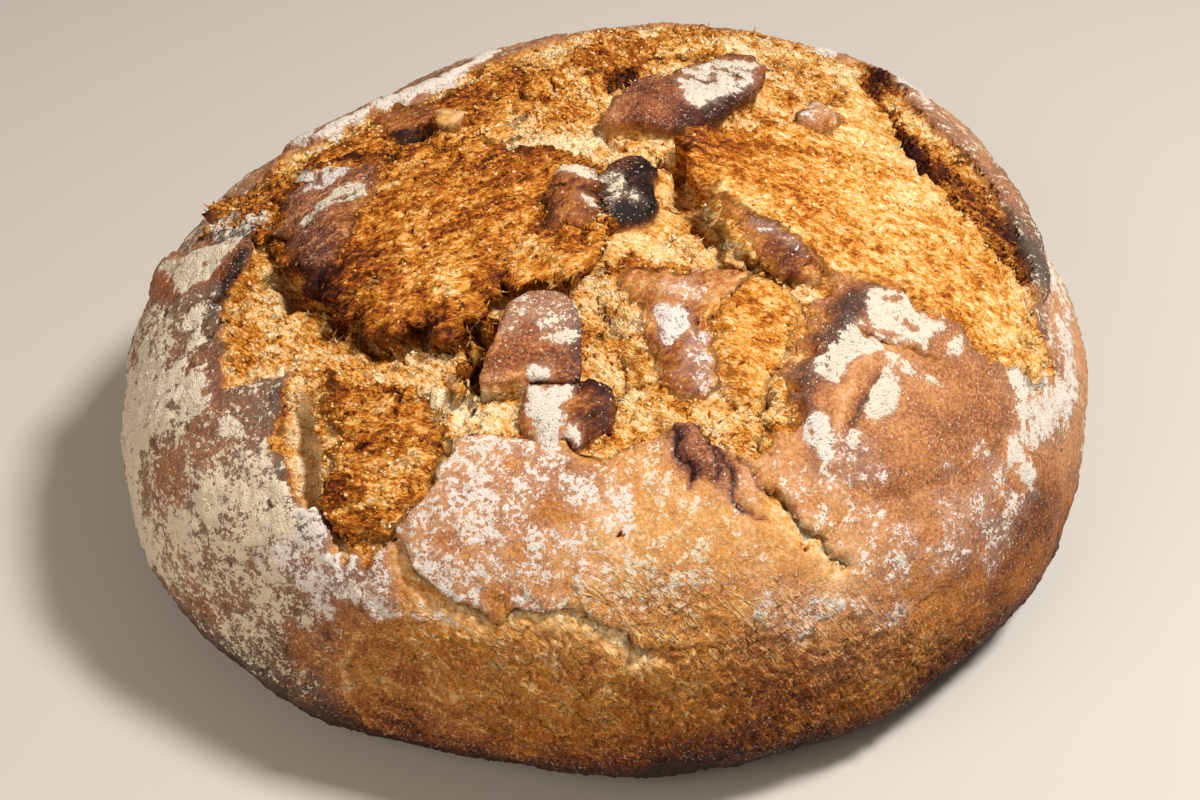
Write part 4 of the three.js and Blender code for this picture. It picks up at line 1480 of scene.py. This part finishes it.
class Graph:
    """Places shader nodes in one tree and links them."""

    MIX_COLOURS = (0, 6, 7)
    MIXED_COLOUR = 2

    def __init__(self, tree: Tree) -> None:
        """Starts with an empty tree."""
        self.tree = tree
        tree.nodes.clear()

    def node(self, kind: str, **settings: object) -> Node:
        """Adds a node of a kind, which is its type name after ShaderNode, with its own settings."""
        made = self.tree.nodes.new(kind if kind.startswith("NodeGroup") else "ShaderNode" + kind)
        for name, value in settings.items():
            setattr(made, name, value)
        return made

    def feed(self, socket: Socket, value: object) -> None:
        """Links a socket to another, or sets its plain value."""
        if isinstance(value, Socket):
            self.tree.links.new(value, socket)
        else:
            socket.default_value = value

    def fed(self, made: Node, *values: object, **named: object) -> Node:
        """Feeds a node's inputs in their order or by name, with spaces for underscores, and returns it."""
        for socket, value in zip(made.inputs, values):
            self.feed(socket, value)
        for name, value in named.items():
            self.feed(made.inputs[name.replace("_", " ")], value)
        return made

    def math(self, operation: str, *values: object, clamp: bool = False) -> Socket:
        """Adds a Math node on one to three values or sockets, and returns its result."""
        return self.fed(self.node("Math", operation=operation, use_clamp=clamp), *values).outputs[0]

    def times(self, value: object, gain: object) -> Socket:
        """Multiplies a value by a gain."""
        return self.math("MULTIPLY", value, gain)

    def plus(self, value: object, gain: object, base: object, clamp: bool = False) -> Socket:
        """Multiplies a value by a gain and adds it to a base."""
        return self.math("MULTIPLY_ADD", value, gain, base, clamp=clamp)

    def mix(self, share: object, before: object, after: object) -> Socket:
        """Mixes two colours by a share, and returns the colour."""
        made = self.node("Mix", data_type="RGBA")
        for index, value in zip(self.MIX_COLOURS, (share, before, after)):
            self.feed(made.inputs[index], value)
        return made.outputs[self.MIXED_COLOUR]

    def noise(self, vector: object, size_mm: float, detail: float, roughness: float = 0.55) -> Node:
        """Adds noise from 0 to 1 whose cells are this wide in millimetres."""
        made = self.node("TexNoise", noise_dimensions="3D")
        return self.fed(made, Vector=vector, Scale=1.0 / (size_mm * MM), Detail=detail, Roughness=roughness)

    def wave(self, vector: object, size_mm: float, detail: float, roughness: float = 0.55) -> Socket:
        """Adds such noise and returns its value about 0."""
        return self.math("SUBTRACT", self.noise(vector, size_mm, detail, roughness).outputs["Fac"], 0.5)

    def ramp(self, share: object, stops: Stops) -> Socket:
        """Adds a colour ramp, and returns its colour.

        Args:
            share: place on the ramp.
            stops: each a place and a display colour.

        Returns:
            The colour socket.
        """
        made = self.node("ValToRGB")
        elements = made.color_ramp.elements
        while len(elements) < len(stops):
            elements.new(0.5)
        for element, (place, code) in zip(elements, stops):
            element.position = place
            element.color = linear(code)
        return self.fed(made, share).outputs[0]

    def cells(self, vector: object, size_mm: float) -> tuple[Socket, Socket]:
        """Adds cells this wide in millimetres, and returns their chance and the distance to their seed."""
        made = self.fed(self.node("TexVoronoi", feature="F1"), Vector=vector, Scale=1.0 / (size_mm * MM))
        parted = self.fed(self.node("SeparateColor"), made.outputs["Color"])
        return parted.outputs["Red"], made.outputs["Distance"]

    def vector_math(self, operation: str, *values: object) -> Socket:
        """Adds a Vector Math node on vectors or sockets, and returns its vector."""
        return self.fed(self.node("VectorMath", operation=operation), *values).outputs["Vector"]

    def drawn(self, vector: object, angle: object, scale: Seat) -> Socket:
        """Turns a vector back about Z by an angle, so that X runs along it, and scales it."""
        made = self.node("VectorRotate", rotation_type="Z_AXIS")
        self.fed(made, Vector=vector, Angle=self.times(angle, -1.0))
        return self.vector_math("MULTIPLY", made.outputs["Vector"], scale)

    def attribute(self, name: str) -> Socket:
        """Reads a value that the mesh carries at its points."""
        return self.node("Attribute", attribute_name=name).outputs["Fac"]

    def span(self, value: object, low: float, high: float) -> Socket:
        """Maps low to 0 and high to 1, smoothly and within those."""
        made = self.node("MapRange", interpolation_type="SMOOTHSTEP")
        return self.fed(made, Value=value, From_Min=low, From_Max=high).outputs["Result"]


class ShaderGroups:
    """The effects that the pieces' finish is made of, each built once as a node group.

    A noise is given by its size in millimetres, its detail and its roughness, cells by their size, and a
    span by the values that it maps to 0 and 1.
    """

    VECTORS = ("Vector", "Chart")
    DRAW = (0.42, 1.0, 1.0)
    FINE = (0.62, 1.0, 0.6)
    FINE_RISE = 0.5
    CELL = 1.3
    FLECK = (2.0, 2.0, 0.6)
    FLECK_RISE = 1.6
    PEBBLE = (1.1, 2.0, 0.7)
    MOTTLE = (8.0, 2.0)
    PATCH = (30.0, 2.0)
    PULL = (0.3, 1.0, 1.0)
    WRINKLE = (4.6, 2.0)
    WRINKLE_LINE = (0.045, 0.0)

    STRAY = (0.8, 2.0, 0.5)
    STRAY_REACH = (1.4 * MM,) * 3
    CLUMP = 1.5
    CLUMP_SHARE = 0.34
    GRAIN = 0.6
    GRAIN_SHARE = 0.26
    SLOW = (6.0, 2.0, 0.6)
    SLOW_SHARE = 0.4
    DENSE = (-0.03, 0.06)
    SPECK = (0.24, 0.14)
    SALT = 0.8
    SALT_GRAIN = (0.5, 0.2)
    SALT_COVER = 0.7
    VEIL = 0.36
    KNOLL = 0.7
    KNOLL_TOP = 1.2
    PILED = (0.3, 0.8)

    @classmethod
    def start(cls, name: str, takes: tuple[str, ...], gives: tuple[str, ...]) -> tuple[Graph, dict, Node]:
        """Starts a group whose inputs are values, apart from the vectors, and whose outputs are values.

        Args:
            name: the group's name.
            takes: names of its inputs.
            gives: names of its outputs.

        Returns:
            Its graph, its input sockets by name, and its output node.
        """
        tree = bpy.data.node_groups.new(name, "ShaderNodeTree")
        for label in takes:
            kind = "NodeSocketVector" if label in cls.VECTORS else "NodeSocketFloat"
            tree.interface.new_socket(name=label, in_out="INPUT", socket_type=kind)
        for label in gives:
            tree.interface.new_socket(name=label, in_out="OUTPUT", socket_type="NodeSocketFloat")
        graph = Graph(tree)
        source = graph.node("NodeGroupInput")
        return graph, {s.name: s for s in source.outputs}, graph.node("NodeGroupOutput")

    def __init__(self) -> None:
        """Builds the groups."""
        self.grain = self.build_grain()
        self.flour = self.build_flour()

    def build_grain(self) -> Tree:
        """Bread's grain: drawn out along the tear in crumb, pebbled on crust, with mottle under both.

        Returns:
            The group: each kind of grain about 0, wrinkle lines from 0 to 1, and a height of the grain.
        """
        labels = ("Fine", "Cell", "Fleck", "Pebble", "Mottle", "Patch", "Wrinkle", "Height")
        graph, takes, gives = self.start("bread_grain", ("Vector", "Chart", "Way", "Crumb"), labels)
        vector = takes["Vector"]
        drawn = graph.drawn(vector, takes["Way"], self.DRAW)
        fine = graph.wave(drawn, *self.FINE)
        chance, _ = graph.cells(drawn, self.CELL)
        cell = graph.math("SUBTRACT", chance, 0.5)
        fleck = graph.wave(drawn, *self.FLECK)
        pebble = graph.wave(vector, *self.PEBBLE)
        mottle = graph.wave(vector, *self.MOTTLE)
        patch = graph.wave(vector, *self.PATCH)
        pulled = graph.drawn(takes["Chart"], takes["Way"], self.PULL)
        folds = graph.math("ABSOLUTE", graph.wave(pulled, *self.WRINKLE))
        wrinkle = graph.span(folds, *self.WRINKLE_LINE)
        torn = graph.plus(fleck, self.FLECK_RISE, graph.times(fine, self.FINE_RISE))
        torn = graph.times(torn, takes["Crumb"])
        height = graph.plus(pebble, graph.math("SUBTRACT", 1.0, takes["Crumb"]), torn)
        graph.fed(gives, fine, cell, fleck, pebble, mottle, patch, wrinkle, height)
        return graph.tree

    def build_flour(self) -> Tree:
        """Dusted flour: clumps by chance with ragged edges, lone specks, salt, and a thin veil.

        Returns:
            The group: a mask of the flour and its height.
        """
        graph, takes, gives = self.start("flour_dust", ("Vector", "Cover", "Specks"), ("Mask", "Height"))
        vector, cover, specks = (takes[label] for label in ("Vector", "Cover", "Specks"))
        strays = graph.noise(vector, *self.STRAY).outputs["Color"]
        bent = graph.vector_math("MULTIPLY_ADD", strays, self.STRAY_REACH, vector)
        clump, middle = graph.cells(bent, self.CLUMP)
        grain, core = graph.cells(bent, self.GRAIN)
        _, away = graph.cells(vector, self.KNOLL)
        slow = graph.plus(graph.noise(vector, *self.SLOW).outputs["Fac"], 2.0, -0.5)
        spread = graph.plus(clump, self.CLUMP_SHARE, graph.times(grain, self.GRAIN_SHARE))
        spread = graph.plus(slow, self.SLOW_SHARE, spread)
        dense = graph.span(graph.math("SUBTRACT", cover, spread), *self.DENSE)
        speck = graph.times(graph.math("LESS_THAN", clump, specks), graph.span(middle, *self.SPECK))
        salted = graph.math("LESS_THAN", grain, graph.times(specks, self.SALT))
        salt = graph.times(salted, graph.times(graph.span(core, *self.SALT_GRAIN), self.SALT_COVER))
        mask = graph.times(cover, self.VEIL)
        for kind in (dense, speck, salt):
            mask = graph.math("MAXIMUM", mask, kind)
        knolls = graph.math("SUBTRACT", self.KNOLL_TOP, away)
        graph.fed(gives, mask, graph.times(graph.span(cover, *self.PILED), knolls))
        return graph.tree

    @staticmethod
    def place(graph: Graph, tree: Tree, **values: object) -> dict:
        """Places a group in a graph, feeds its inputs by name, and returns its output sockets by name."""
        return {s.name: s for s in graph.fed(graph.node("Group", node_tree=tree), **values).outputs}


@dataclass(frozen=True)
class LoafFinish:
    """Baked crust and torn crumb: ramps from pale to dark, flour over them, and black for burnt crust and
    painted shade.
    """

    crumb: Stops = (
        (0.0, "F0DCB4"), (0.25, "E7B974"), (0.45, "CF8C30"),
        (0.62, "AB5F10"), (0.8, "7A390C"), (1.0, "3C1608"),
    )
    golden: Stops = ((0.0, "DEB67C"), (0.25, "CB8930"), (0.5, "A45D0A"), (0.75, "672E08"), (1.0, "240A04"))
    rosy: Stops = ((0.0, "D9A27A"), (0.35, "B67C55"), (0.55, "8A533A"), (0.75, "5E362A"), (1.0, "2A1313"))
    cream: str = "D8CCB4"
    chalk: str = "DBD5D1"
    char: str = "160F0E"
    mottle: float = 0.4
    crumb_fleck: float = 1.0
    crumb_cells: float = 0.2
    crumb_grain: float = 0.8
    crust_grain: float = 0.95
    wrinkle_tone: float = 0.3
    wrinkle_height: float = 0.4
    wrinkled_grit: Place = (0.45, 0.7)
    specks: float = 0.22
    speckled_bake: Place = (1.2, 0.7)
    crust_roughness: float = 0.6
    crumb_roughness: float = 0.04
    flour_roughness: float = 0.35
    flour_height: float = 0.25
    gloss: float = 0.18
    relief: float = 0.0013

    def make(self, groups: ShaderGroups) -> Material:
        """Builds the material.

        Args:
            groups: the shared effects.

        Returns:
            The material.
        """
        material = bpy.data.materials.new("baked_loaf")
        material.use_nodes = True
        graph = Graph(material.node_tree)
        vector = graph.node("TexCoord").outputs["Object"]
        chart = graph.fed(graph.node("CombineXYZ"), *(graph.attribute(name) for name in Ground.CHART))
        crumb, bake, warm, cover, chalk, burn, grit, way = (graph.attribute(name) for name in Ground.LAYERS)
        grain = groups.place(
            graph, groups.grain, Vector=vector, Chart=chart.outputs[0], Way=way, Crumb=crumb
        )
        slow = graph.plus(grain["Mottle"], self.mottle, graph.plus(grain["Patch"], self.mottle, bake))
        crumb_tone = slow
        gains = {"Cell": self.crumb_cells, "Fleck": self.crumb_fleck, "Fine": self.crumb_grain}
        for kind, gain in gains.items():
            crumb_tone = graph.plus(grain[kind], gain, crumb_tone)
        wrinkle = graph.times(grain["Wrinkle"], graph.span(grit, *self.wrinkled_grit))
        crust_tone = graph.plus(grain["Pebble"], self.crust_grain, slow)
        crust_tone = graph.plus(wrinkle, -self.wrinkle_tone, crust_tone)
        crust = graph.mix(warm, graph.ramp(crust_tone, self.rosy), graph.ramp(crust_tone, self.golden))
        bread = graph.mix(crumb, crust, graph.ramp(crumb_tone, self.crumb))
        # Blackens towards the black colour where the layer holds burnt crust and painted shade.
        charred_and_shaded = graph.mix(burn, bread, linear(self.char))
        on_crust = graph.plus(crumb, -self.specks, self.specks)
        specks = graph.times(on_crust, graph.span(bake, *self.speckled_bake))
        dust = groups.place(graph, groups.flour, Vector=vector, Cover=cover, Specks=specks)
        flour = graph.mix(chalk, linear(self.cream), linear(self.chalk))
        bare = graph.plus(crumb, self.crumb_roughness, self.crust_roughness)
        dull = graph.plus(dust["Mask"], self.flour_roughness, bare, clamp=True)
        folds = graph.times(wrinkle, graph.plus(crumb, -self.wrinkle_height, self.wrinkle_height))
        lumps = graph.plus(grain["Height"], grit, folds)
        raised = graph.node("Bump")
        raised.inputs["Distance"].default_value = self.relief
        graph.feed(raised.inputs["Height"], graph.plus(dust["Height"], self.flour_height, lumps))
        surface = graph.node("BsdfPrincipled")
        surface.inputs["Specular IOR Level"].default_value = self.gloss
        graph.feed(surface.inputs["Base Color"], graph.mix(dust["Mask"], charred_and_shaded, flour))
        graph.feed(surface.inputs["Roughness"], dull)
        graph.feed(surface.inputs["Normal"], raised.outputs["Normal"])
        graph.fed(graph.node("OutputMaterial"), surface.outputs["BSDF"])
        return material


def linked(name: str, data: object) -> Piece:
    """Makes an object of some data and links it to the scene."""
    made = bpy.data.objects.new(name, data)
    bpy.context.scene.collection.objects.link(made)
    return made


def mesh_from(name: str, points: Array, triangles: Array) -> Piece:
    """Puts arrays into a mesh object at the origin.

    Args:
        name: the piece's name.
        points: N by 3, in metres.
        triangles: M by 3 point numbers.

    Returns:
        The object, smooth shaded.
    """
    mesh = bpy.data.meshes.new(name)
    mesh.vertices.add(len(points))
    mesh.vertices.foreach_set("co", np.ascontiguousarray(points, dtype=np.float32).ravel())
    mesh.loops.add(3 * len(triangles))
    mesh.loops.foreach_set("vertex_index", np.ascontiguousarray(triangles, dtype=np.int32).ravel())
    mesh.polygons.add(len(triangles))
    mesh.polygons.foreach_set("loop_start", np.arange(0, 3 * len(triangles), 3, dtype=np.int32))
    mesh.polygons.foreach_set("use_smooth", np.ones(len(triangles), dtype=bool))
    mesh.update(calc_edges=True)
    mesh.validate()
    return linked(name, mesh)


def carry(piece: Piece, name: str, values: Array) -> None:
    """Gives a piece a value at each of its points."""
    layer = piece.data.attributes.new(name, "FLOAT", "POINT")
    layer.data.foreach_set("value", values.astype(np.float32))


@dataclass
class Loaf:
    """The whole bread as one closed surface."""

    dome: Dome = field(default_factory=Dome)
    crust: OuterCrust = field(default_factory=OuterCrust)
    crown: TornCrown = field(default_factory=TornCrown)
    weathering: Weathering = field(default_factory=Weathering)
    rows: int = 900
    crown_density: float = 0.85
    rim_share: float = 0.97
    most_triangles: int = 196000
    gather: float = 0.55
    gather_reach: float = 5.0
    flat_width: float = 14.0

    def chart(self) -> tuple[Array, Array]:
        """Places of a square grid wrapped over the loaf.

        A square is pressed into a disc, each coordinate shortened by the root of 1 less half the other's
        square. The disc's radius becomes a walk that is closer spaced at the crown, and its last ring
        gathers under the loaf.

        Returns:
            East and north of each grid point, row by row.
        """
        line = np.linspace(-1.0, 1.0, self.rows)
        u, v = np.meshgrid(line, line, indexing="ij")
        x = u * np.sqrt(1.0 - v * v / 2.0)
        y = v * np.sqrt(1.0 - u * u / 2.0)
        radius = np.hypot(x, y).ravel()
        angle = np.arctan2(y, x).ravel()
        share = np.minimum(radius / self.rim_share, 1.0)
        rim, end = self.dome.walks
        walk = rim * (self.crown_density * share + (1.0 - self.crown_density) * share**3)
        walk += (end - rim) * np.clip((radius - self.rim_share) / (1.0 - self.rim_share), 0.0, 1.0)
        return walk * np.cos(angle), walk * np.sin(angle)

    def triangles(self) -> Array:
        """Two triangles for each square of the grid, whose border is one point under the loaf."""
        number = np.arange(self.rows * self.rows).reshape(self.rows, self.rows)
        number[[0, -1], :] = 0
        number[:, [0, -1]] = 0
        a, b, c, d = number[:-1, :-1], number[1:, :-1], number[1:, 1:], number[:-1, 1:]
        faces = np.concatenate([np.stack([a, b, c], axis=-1), np.stack([a, c, d], axis=-1)]).reshape(-1, 3)
        return faces[np.all(faces != np.roll(faces, 1, axis=1), axis=1)]

    def gathered(self, east: Array, north: Array) -> tuple[Array, Array]:
        """Draws places together at the mouth's and islands' edges, so that walls have enough points.

        A place moves towards the edge by a share of its distance, and the share falls off as a bell.

        Args:
            east: places of the even grid.
            north: places of the even grid.

        Returns:
            East and north of the places, row by row.
        """
        ground = Ground.over(self.dome, east, north)
        edges = [(self.crown.table, Edge.TORN)] + [(i.table, i.edge) for i in self.crown.islands]
        for table, edge in edges:
            found, torn_east, torn_north, gap = ground.near(table, edge.raggedness)
            move = -self.gather * gap * bump(gap, self.gather_reach)
            step = move[:, None] * table.away(torn_east, torn_north)
            ground.east[found] += step[:, 0]
            ground.north[found] += step[:, 1]
        return ground.east, ground.north

    def ground(self) -> Ground:
        """Works out relief and bake over the chart."""
        east, north = self.gathered(*self.chart())
        ground = Ground.over(self.dome, east, north)
        self.crust.lay_on(ground)
        self.crown.tear_open(ground)
        self.weathering.wear(ground)
        rim, _ = self.dome.walks
        ground.height *= 1.0 - ease(rim - self.flat_width, rim, np.hypot(east, north))
        return ground

    def build(self, finish: Material) -> tuple[Piece, Ground, Array]:
        """Makes the piece.

        A point is the dome's point at its shifted place, raised square to the dome, and in torn crumb moved
        a little every way.

        Args:
            finish: the loaf's material.

        Returns:
            The piece, its ground, and its points in metres before they are thinned out.
        """
        ground = self.ground()
        east = ground.east + ground.shift[:, 0]
        north = ground.north + ground.shift[:, 1]
        points = self.dome.points(east, north) + ground.height[:, None] * self.dome.normals(east, north)
        points += ground.crumb[:, None] * np.stack([SHAKE.over(ground.points, k) for k in range(3)], axis=1)
        points[:, 2] = np.maximum(points[:, 2], 0.0)
        points *= MM
        faces = self.triangles()
        used, compact = np.unique(faces, return_inverse=True)
        piece = mesh_from("loaf_bread", points[used], compact.reshape(-1, 3))
        for name in Ground.LAYERS:
            carry(piece, name, getattr(ground, name)[used])
        for name in Ground.CHART:
            carry(piece, name, MM * getattr(ground, name)[used])
        self.thin(piece)
        piece.data.materials.append(finish)
        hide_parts("loaf")
        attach(piece, BODY)
        return piece, ground, points

    def thin(self, piece: Piece) -> None:
        """Thins the mesh out to the most triangles that it may have."""
        thinning = piece.modifiers.new("thinning", "DECIMATE")
        thinning.ratio = self.most_triangles / len(piece.data.polygons)
        bpy.context.view_layer.update()
        thinned = piece.evaluated_get(bpy.context.evaluated_depsgraph_get())
        mesh = bpy.data.meshes.new_from_object(thinned)
        piece.modifiers.clear()
        piece.data = mesh
        mesh.polygons.foreach_set("use_smooth", np.ones(len(mesh.polygons), dtype=bool))


@dataclass(frozen=True)
class Lamp:
    """A soft square light: its seat in metres, power in watts, width in metres and colour."""

    name: str
    seat: Seat
    power: float
    size: float
    tint: str


@dataclass(frozen=True)
class Studio:
    """A pale floor, soft light and the camera."""

    aim: Seat = (-6.7, -10.2, 38.6)
    elevation: float = 42.0
    distance: float = 710.0
    lens: float = 60.0
    sensor: float = 36.0
    clip_start: float = 0.01
    floor_size: float = 6.0
    floor_colour: str = "C9C5BE"
    floor_roughness: float = 0.7
    lit: Seat = (0.0, 0.0, 0.06)
    key: Lamp = Lamp("key", (0.54, -0.1, 1.12), 17.2, 0.2, "FFF9F2")
    fill: Lamp = Lamp("fill", (-0.8, -0.8, 0.8), 7.5, 0.9, "FFECD8")
    sky_colour: str = "EFE5DA"
    sky_strength: float = 0.2

    @staticmethod
    def facing(seat: Vector, aim: Vector) -> Euler:
        """Turn of a camera or light that looks from a seat to an aim."""
        return (aim - seat).to_track_quat("-Z", "Y").to_euler()

    def camera(self) -> None:
        """Sets the camera at the viewing angle, on the -Y side and above the loaf, looking at the aim."""
        data = bpy.data.cameras.new("camera")
        data.sensor_width = self.sensor
        data.lens = self.lens
        data.clip_start = self.clip_start
        turn = math.radians(self.elevation)
        aim = Vector(self.aim) * MM
        seat = aim + Vector((0.0, -math.cos(turn), math.sin(turn))) * self.distance * MM
        camera = linked("camera", data)
        camera.location = seat
        camera.rotation_euler = self.facing(seat, aim)
        bpy.context.scene.camera = camera

    def hang(self, lamp: Lamp) -> None:
        """Hangs a light that faces the loaf."""
        data = bpy.data.lights.new(lamp.name, "AREA")
        data.energy = lamp.power
        data.size = lamp.size
        data.color = linear(lamp.tint)[:3]
        light = linked(lamp.name, data)
        light.location = lamp.seat
        light.rotation_euler = self.facing(Vector(lamp.seat), Vector(self.lit))

    def floor(self) -> None:
        """Lays the floor: a plain pale sheet."""
        half = self.floor_size / 2
        corners = np.array([(-half, -half, 0), (half, -half, 0), (half, half, 0), (-half, half, 0)])
        floor = mesh_from("floor", corners, np.array([(0, 1, 2), (0, 2, 3)]))
        material = bpy.data.materials.new("pale_floor")
        material.use_nodes = True
        surface = material.node_tree.nodes["Principled BSDF"]
        surface.inputs["Base Color"].default_value = linear(self.floor_colour)
        surface.inputs["Roughness"].default_value = self.floor_roughness
        floor.data.materials.append(material)

    def light(self) -> None:
        """Sets the key high on the right, a weak fill in front, and a pale sky."""
        self.hang(self.key)
        self.hang(self.fill)
        world = bpy.data.worlds.new("studio")
        bpy.context.scene.world = world
        world.use_nodes = True
        sky = world.node_tree.nodes["Background"]
        sky.inputs["Color"].default_value = linear(self.sky_colour)
        sky.inputs["Strength"].default_value = self.sky_strength
        bpy.context.scene.view_settings.view_transform = "Standard"

    def build(self) -> None:
        """Sets up all of it."""
        self.camera()
        self.floor()
        self.light()


@dataclass(frozen=True)
class Sites:
    """Places on the finished surface where small things can lie."""

    points: Array
    upward: Array
    steep: Array
    layers: dict[str, Array]

    @classmethod
    def on(cls, loaf: Loaf, ground: Ground, points: Array) -> Sites:
        """Reads the surface: the cross product of its grid's steps, and how far that leans from the dome's.

        Args:
            loaf: the bread.
            ground: its ground.
            points: its points in metres, row by row.

        Returns:
            One site for each point.
        """
        grid = points.reshape(loaf.rows, loaf.rows, 3)
        upward = unit(np.cross(np.gradient(grid, axis=0), np.gradient(grid, axis=1)).reshape(-1, 3))
        steep = 1.0 - np.sum(upward * loaf.dome.normals(ground.east, ground.north), axis=1)
        return cls(points, upward, steep, {name: getattr(ground, name) for name in Ground.LAYERS})


class Morsel(Enum):
    """What lies on the crown: a lump or a strand."""

    LUMP = "lump"
    STRAND = "strand"

    def shape(self) -> tuple[Array, Array]:
        """Points within about 1 of the origin, and triangles that face outwards."""
        return self.lump() if self is Morsel.LUMP else self.strand()

    @staticmethod
    def lump(joined: float = 1.2) -> tuple[Array, Array]:
        """An icosahedron: three golden rectangles square to each other.

        Args:
            joined: corners closer than this share an edge.

        Returns:
            Points and triangles.
        """
        golden = (1.0 + math.sqrt(5.0)) / 2.0
        corners = [(-1, golden, 0), (1, golden, 0), (-1, -golden, 0), (1, -golden, 0)]
        points = np.array([np.roll(corner, turn) for turn in range(3) for corner in corners], dtype=float)
        points /= np.linalg.norm(points[0])
        near = np.linalg.norm(points[:, None] - points[None, :], axis=2) < joined
        threes = itertools.combinations(range(len(points)), 3)
        triangles = np.array([three for three in threes if near[np.ix_(three, three)].all()])
        a, b, c = (points[triangles[:, n]] for n in range(3))
        inward = np.sum(np.cross(b - a, c - a) * (a + b + c), axis=1) < 0
        triangles[inward] = triangles[inward][:, ::-1]
        return points, triangles

    @staticmethod
    def strand(rings: int = 5) -> tuple[Array, Array]:
        """A three-sided strand from the origin along X, which tapers as 1 less the square of its length.

        Args:
            rings: rings of three points before the tip.

        Returns:
            Points and triangles.
        """
        share = np.arange(rings) / rings
        turn = np.arange(3) * 2.0 * math.pi / 3.0
        width = 1.0 - share**2
        x = np.repeat(share, 3)
        y = np.outer(width, np.cos(turn)).ravel()
        z = np.outer(width, np.sin(turn)).ravel()
        points = np.vstack([np.stack([x, y, z], axis=1), [(1.0, 0.0, 0.0)]])
        sides = [(3 * r + s, 3 * r + (s + 1) % 3) for r in range(rings - 1) for s in range(3)]
        around = [(a, b, a + 3) for a, b in sides]
        across = [(b, b + 3, a + 3) for a, b in sides]
        last = 3 * (rings - 1)
        tip = [(last + s, last + (s + 1) % 3, last + 3) for s in range(3)]
        return points, np.array([(0, 2, 1)] + around + across + tip)


@dataclass(frozen=True)
class Litter:
    """Many small pieces of one kind on the crown.

    Length and width are the half sizes of a lump or the whole length and half width of a strand, in
    millimetres. Lift is how much a strand stands up and curl how much it bends up, tone and spread what the
    piece adds to the bake under it, and lifts, sizes and curls the ranges of chance.
    """

    name: str
    morsel: Morsel
    count: int
    length: float
    width: float
    lift: float = 0.0
    curl: float = 0.0
    tone: float = 0.0
    spread: float = 0.1
    flour: float = 0.0
    seed: int = 1
    lifts: Place = (0.3, 1.0)
    sizes: Place = (0.5, 1.3)
    curls: Place = (-0.4, 1.0)

    FLOURED = (0.7, 0.95)
    TORN = (0.6, 0.95)
    STEEP = (0.25, 0.6)
    GRITTY = (0.6, 0.75)

    def weights(self, sites: Sites) -> Array:
        """Chance of each site: floured ones for flour, steep crumb for strands, open crumb for lumps."""
        if self.flour:
            return ease(*self.FLOURED, sites.layers["flour"])
        crumb = ease(*self.TORN, sites.layers["crumb"]) * (1.0 - sites.layers["flour"])
        if self.morsel is Morsel.STRAND:
            return crumb * ease(*self.STEEP, sites.steep) * ease(*self.GRITTY, sites.layers["grit"])
        return crumb * sites.layers["grit"] ** 2

    def build(self, sites: Sites, finish: Material) -> Piece:
        """Makes the piece: the shape turned, scaled and set at seeded sites, with the layers under it.

        A strand bends up as the square of its length.

        Args:
            sites: where things can lie.
            finish: the bread's material.

        Returns:
            The piece.
        """
        draw = np.random.default_rng(self.seed)
        each = (self.count, 1)
        chance = self.weights(sites)
        chosen = draw.choice(len(chance), self.count, p=chance / chance.sum())
        shape, triangles = self.morsel.shape()
        upward = sites.upward[chosen]
        sideways = unit(np.cross(upward, draw.normal(size=(self.count, 3))))
        forward = unit(sideways + self.lift * draw.uniform(*self.lifts, each) * upward)
        across = unit(np.cross(upward, forward))
        above = np.cross(forward, across)
        size = draw.uniform(*self.sizes, each) * MM
        x, y, z = shape.T
        raised = self.width * z + self.curl * self.length * x**2 * draw.uniform(*self.curls, each)
        moves = ((self.length * x, forward), (self.width * y, across), (raised, above))
        offsets = sum((size * move)[:, :, None] * way[:, None, :] for move, way in moves)
        points = (sites.points[chosen][:, None, :] + offsets).reshape(-1, 3)
        steps = np.arange(self.count)[:, None, None] * len(shape)
        piece = mesh_from(self.name, points, (triangles[None] + steps).reshape(-1, 3))
        layers = {name: values[chosen] for name, values in sites.layers.items()}
        layers["bake"] = layers["bake"] + self.tone + self.spread * draw.normal(size=self.count)
        layers["flour"] = np.full(self.count, self.flour)
        for name, values in layers.items():
            carry(piece, name, np.repeat(values, len(shape)))
        piece.data.materials.append(finish)
        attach(piece, BODY)
        return piece


LITTER = (
    Litter(
        "crumb_shreds", Morsel.STRAND, 4200, 2.4, 0.3, lift=0.9, curl=0.35, tone=-0.04, spread=0.14, seed=3,
    ),
    Litter("crumb_grains", Morsel.LUMP, 7000, 0.75, 0.5, tone=-0.12, spread=0.2, seed=5),
    Litter("flour_clumps", Morsel.LUMP, 1500, 0.7, 0.3, flour=1.0, seed=7),
)


def main() -> None:
    """Builds the loaf and its studio round the frame."""
    logging.basicConfig(level=logging.INFO, format="%(name)s: %(message)s")
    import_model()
    Studio().build()
    finish = LoafFinish().make(ShaderGroups())
    loaf = Loaf()
    piece, ground, points = loaf.build(finish)
    LOG.info("%s: %d triangles", piece.name, len(piece.data.polygons))
    sites = Sites.on(loaf, ground, points)
    for litter in LITTER:
        scattered = litter.build(sites, finish)
        LOG.info("%s: %d triangles", scattered.name, len(scattered.data.polygons))


if __name__ == "__main__":
    main()
